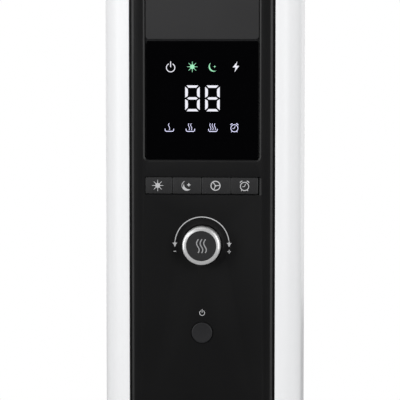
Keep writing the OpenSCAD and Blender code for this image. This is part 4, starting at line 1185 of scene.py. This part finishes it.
class HeaterPanel(bpy.types.Operator):
    """Makes the fascia, the inlay and the display window"""

    bl_idname = "heater.panel"
    bl_label = "Fascia and display"

    def execute(self, context):
        make_fascia(sizes())
        bevelled_plate("inlay_plate", "inlay", 2.5 * MM, 0.35 * MM)
        bevelled_plate("display_lens", "display_window", 2.5 * MM, 0.45 * MM)
        return {"FINISHED"}


class HeaterControls(bpy.types.Operator):
    """Makes the four keys, the knob and the power button"""

    bl_idname = "heater.controls"
    bl_label = "Keys, knob and button"

    def execute(self, context):
        for node in ("key_heat", "key_sleep", "key_fan", "key_timer"):
            make_key(node, sizes())
        make_knob()
        make_button()
        return {"FINISHED"}


class HeaterSymbols(bpy.types.Operator):
    """Makes the lit digits and symbols and the printed ones"""

    bl_idname = "heater.symbols"
    bl_label = "Symbols"

    def execute(self, context):
        display_symbols(sizes())
        key_symbols(sizes())
        dial_print(sizes())
        return {"FINISHED"}


class HeaterOutlet(bpy.types.Operator):
    """Makes the warm air outlet's louvres"""

    bl_idname = "heater.outlet"
    bl_label = "Outlet"

    def execute(self, context):
        make_outlet()
        return {"FINISHED"}


class HeaterRear(bpy.types.Operator):
    """Makes the rear cover, the filter door and the heads of the rear screws"""

    bl_idname = "heater.rear"
    bl_label = "Rear"

    def execute(self, context):
        softened("rear_cover", "rear_shell", 0.4 * MM)
        softened("filter_door", "filter_door_panel", 0.35 * MM)
        make_screw_heads()
        return {"FINISHED"}


class HeaterBase(bpy.types.Operator):
    """Makes the base cover and rounds the feet and the cord gland"""

    bl_idname = "heater.base"
    bl_label = "Base"

    def execute(self, context):
        make_base(sizes())
        softened("cord_gland", "cord_gland_turned", 0.4 * MM)
        softened("rubber_feet", "feet", 0.5 * MM)
        return {"FINISHED"}


STEPS = (HeaterStage, HeaterFinishes, HeaterShells, HeaterPanel, HeaterControls, HeaterSymbols,
         HeaterOutlet, HeaterRear, HeaterBase)


class HeaterSidebar(bpy.types.Panel):
    """Lists the steps that build the heater, with its sizes and colours"""

    bl_idname = "VIEW3D_PT_heater"
    bl_label = "Ceramic tower heater"
    bl_space_type = "VIEW_3D"
    bl_region_type = "UI"
    bl_category = "Heater"

    def draw(self, context):
        for step in STEPS:
            self.layout.operator(step.bl_idname)
        for group in (context.scene.heater_sizes, context.scene.heater_colours):
            for key in group.__annotations__:
                self.layout.prop(group, key)


CLASSES = (HeaterSizes, HeaterColours, *STEPS, HeaterSidebar)


def register():
    for kind in CLASSES:
        bpy.utils.register_class(kind)
    bpy.types.Scene.heater_sizes = bpy.props.PointerProperty(type=HeaterSizes)
    bpy.types.Scene.heater_colours = bpy.props.PointerProperty(type=HeaterColours)


def unregister():
    del bpy.types.Scene.heater_colours
    del bpy.types.Scene.heater_sizes
    for kind in reversed(CLASSES):
        bpy.utils.unregister_class(kind)


def main():
    register()
    for step in STEPS:
        group, name = step.bl_idname.split(".")
        getattr(getattr(bpy.ops, group), name)()


if __name__ == "__main__":
    main()
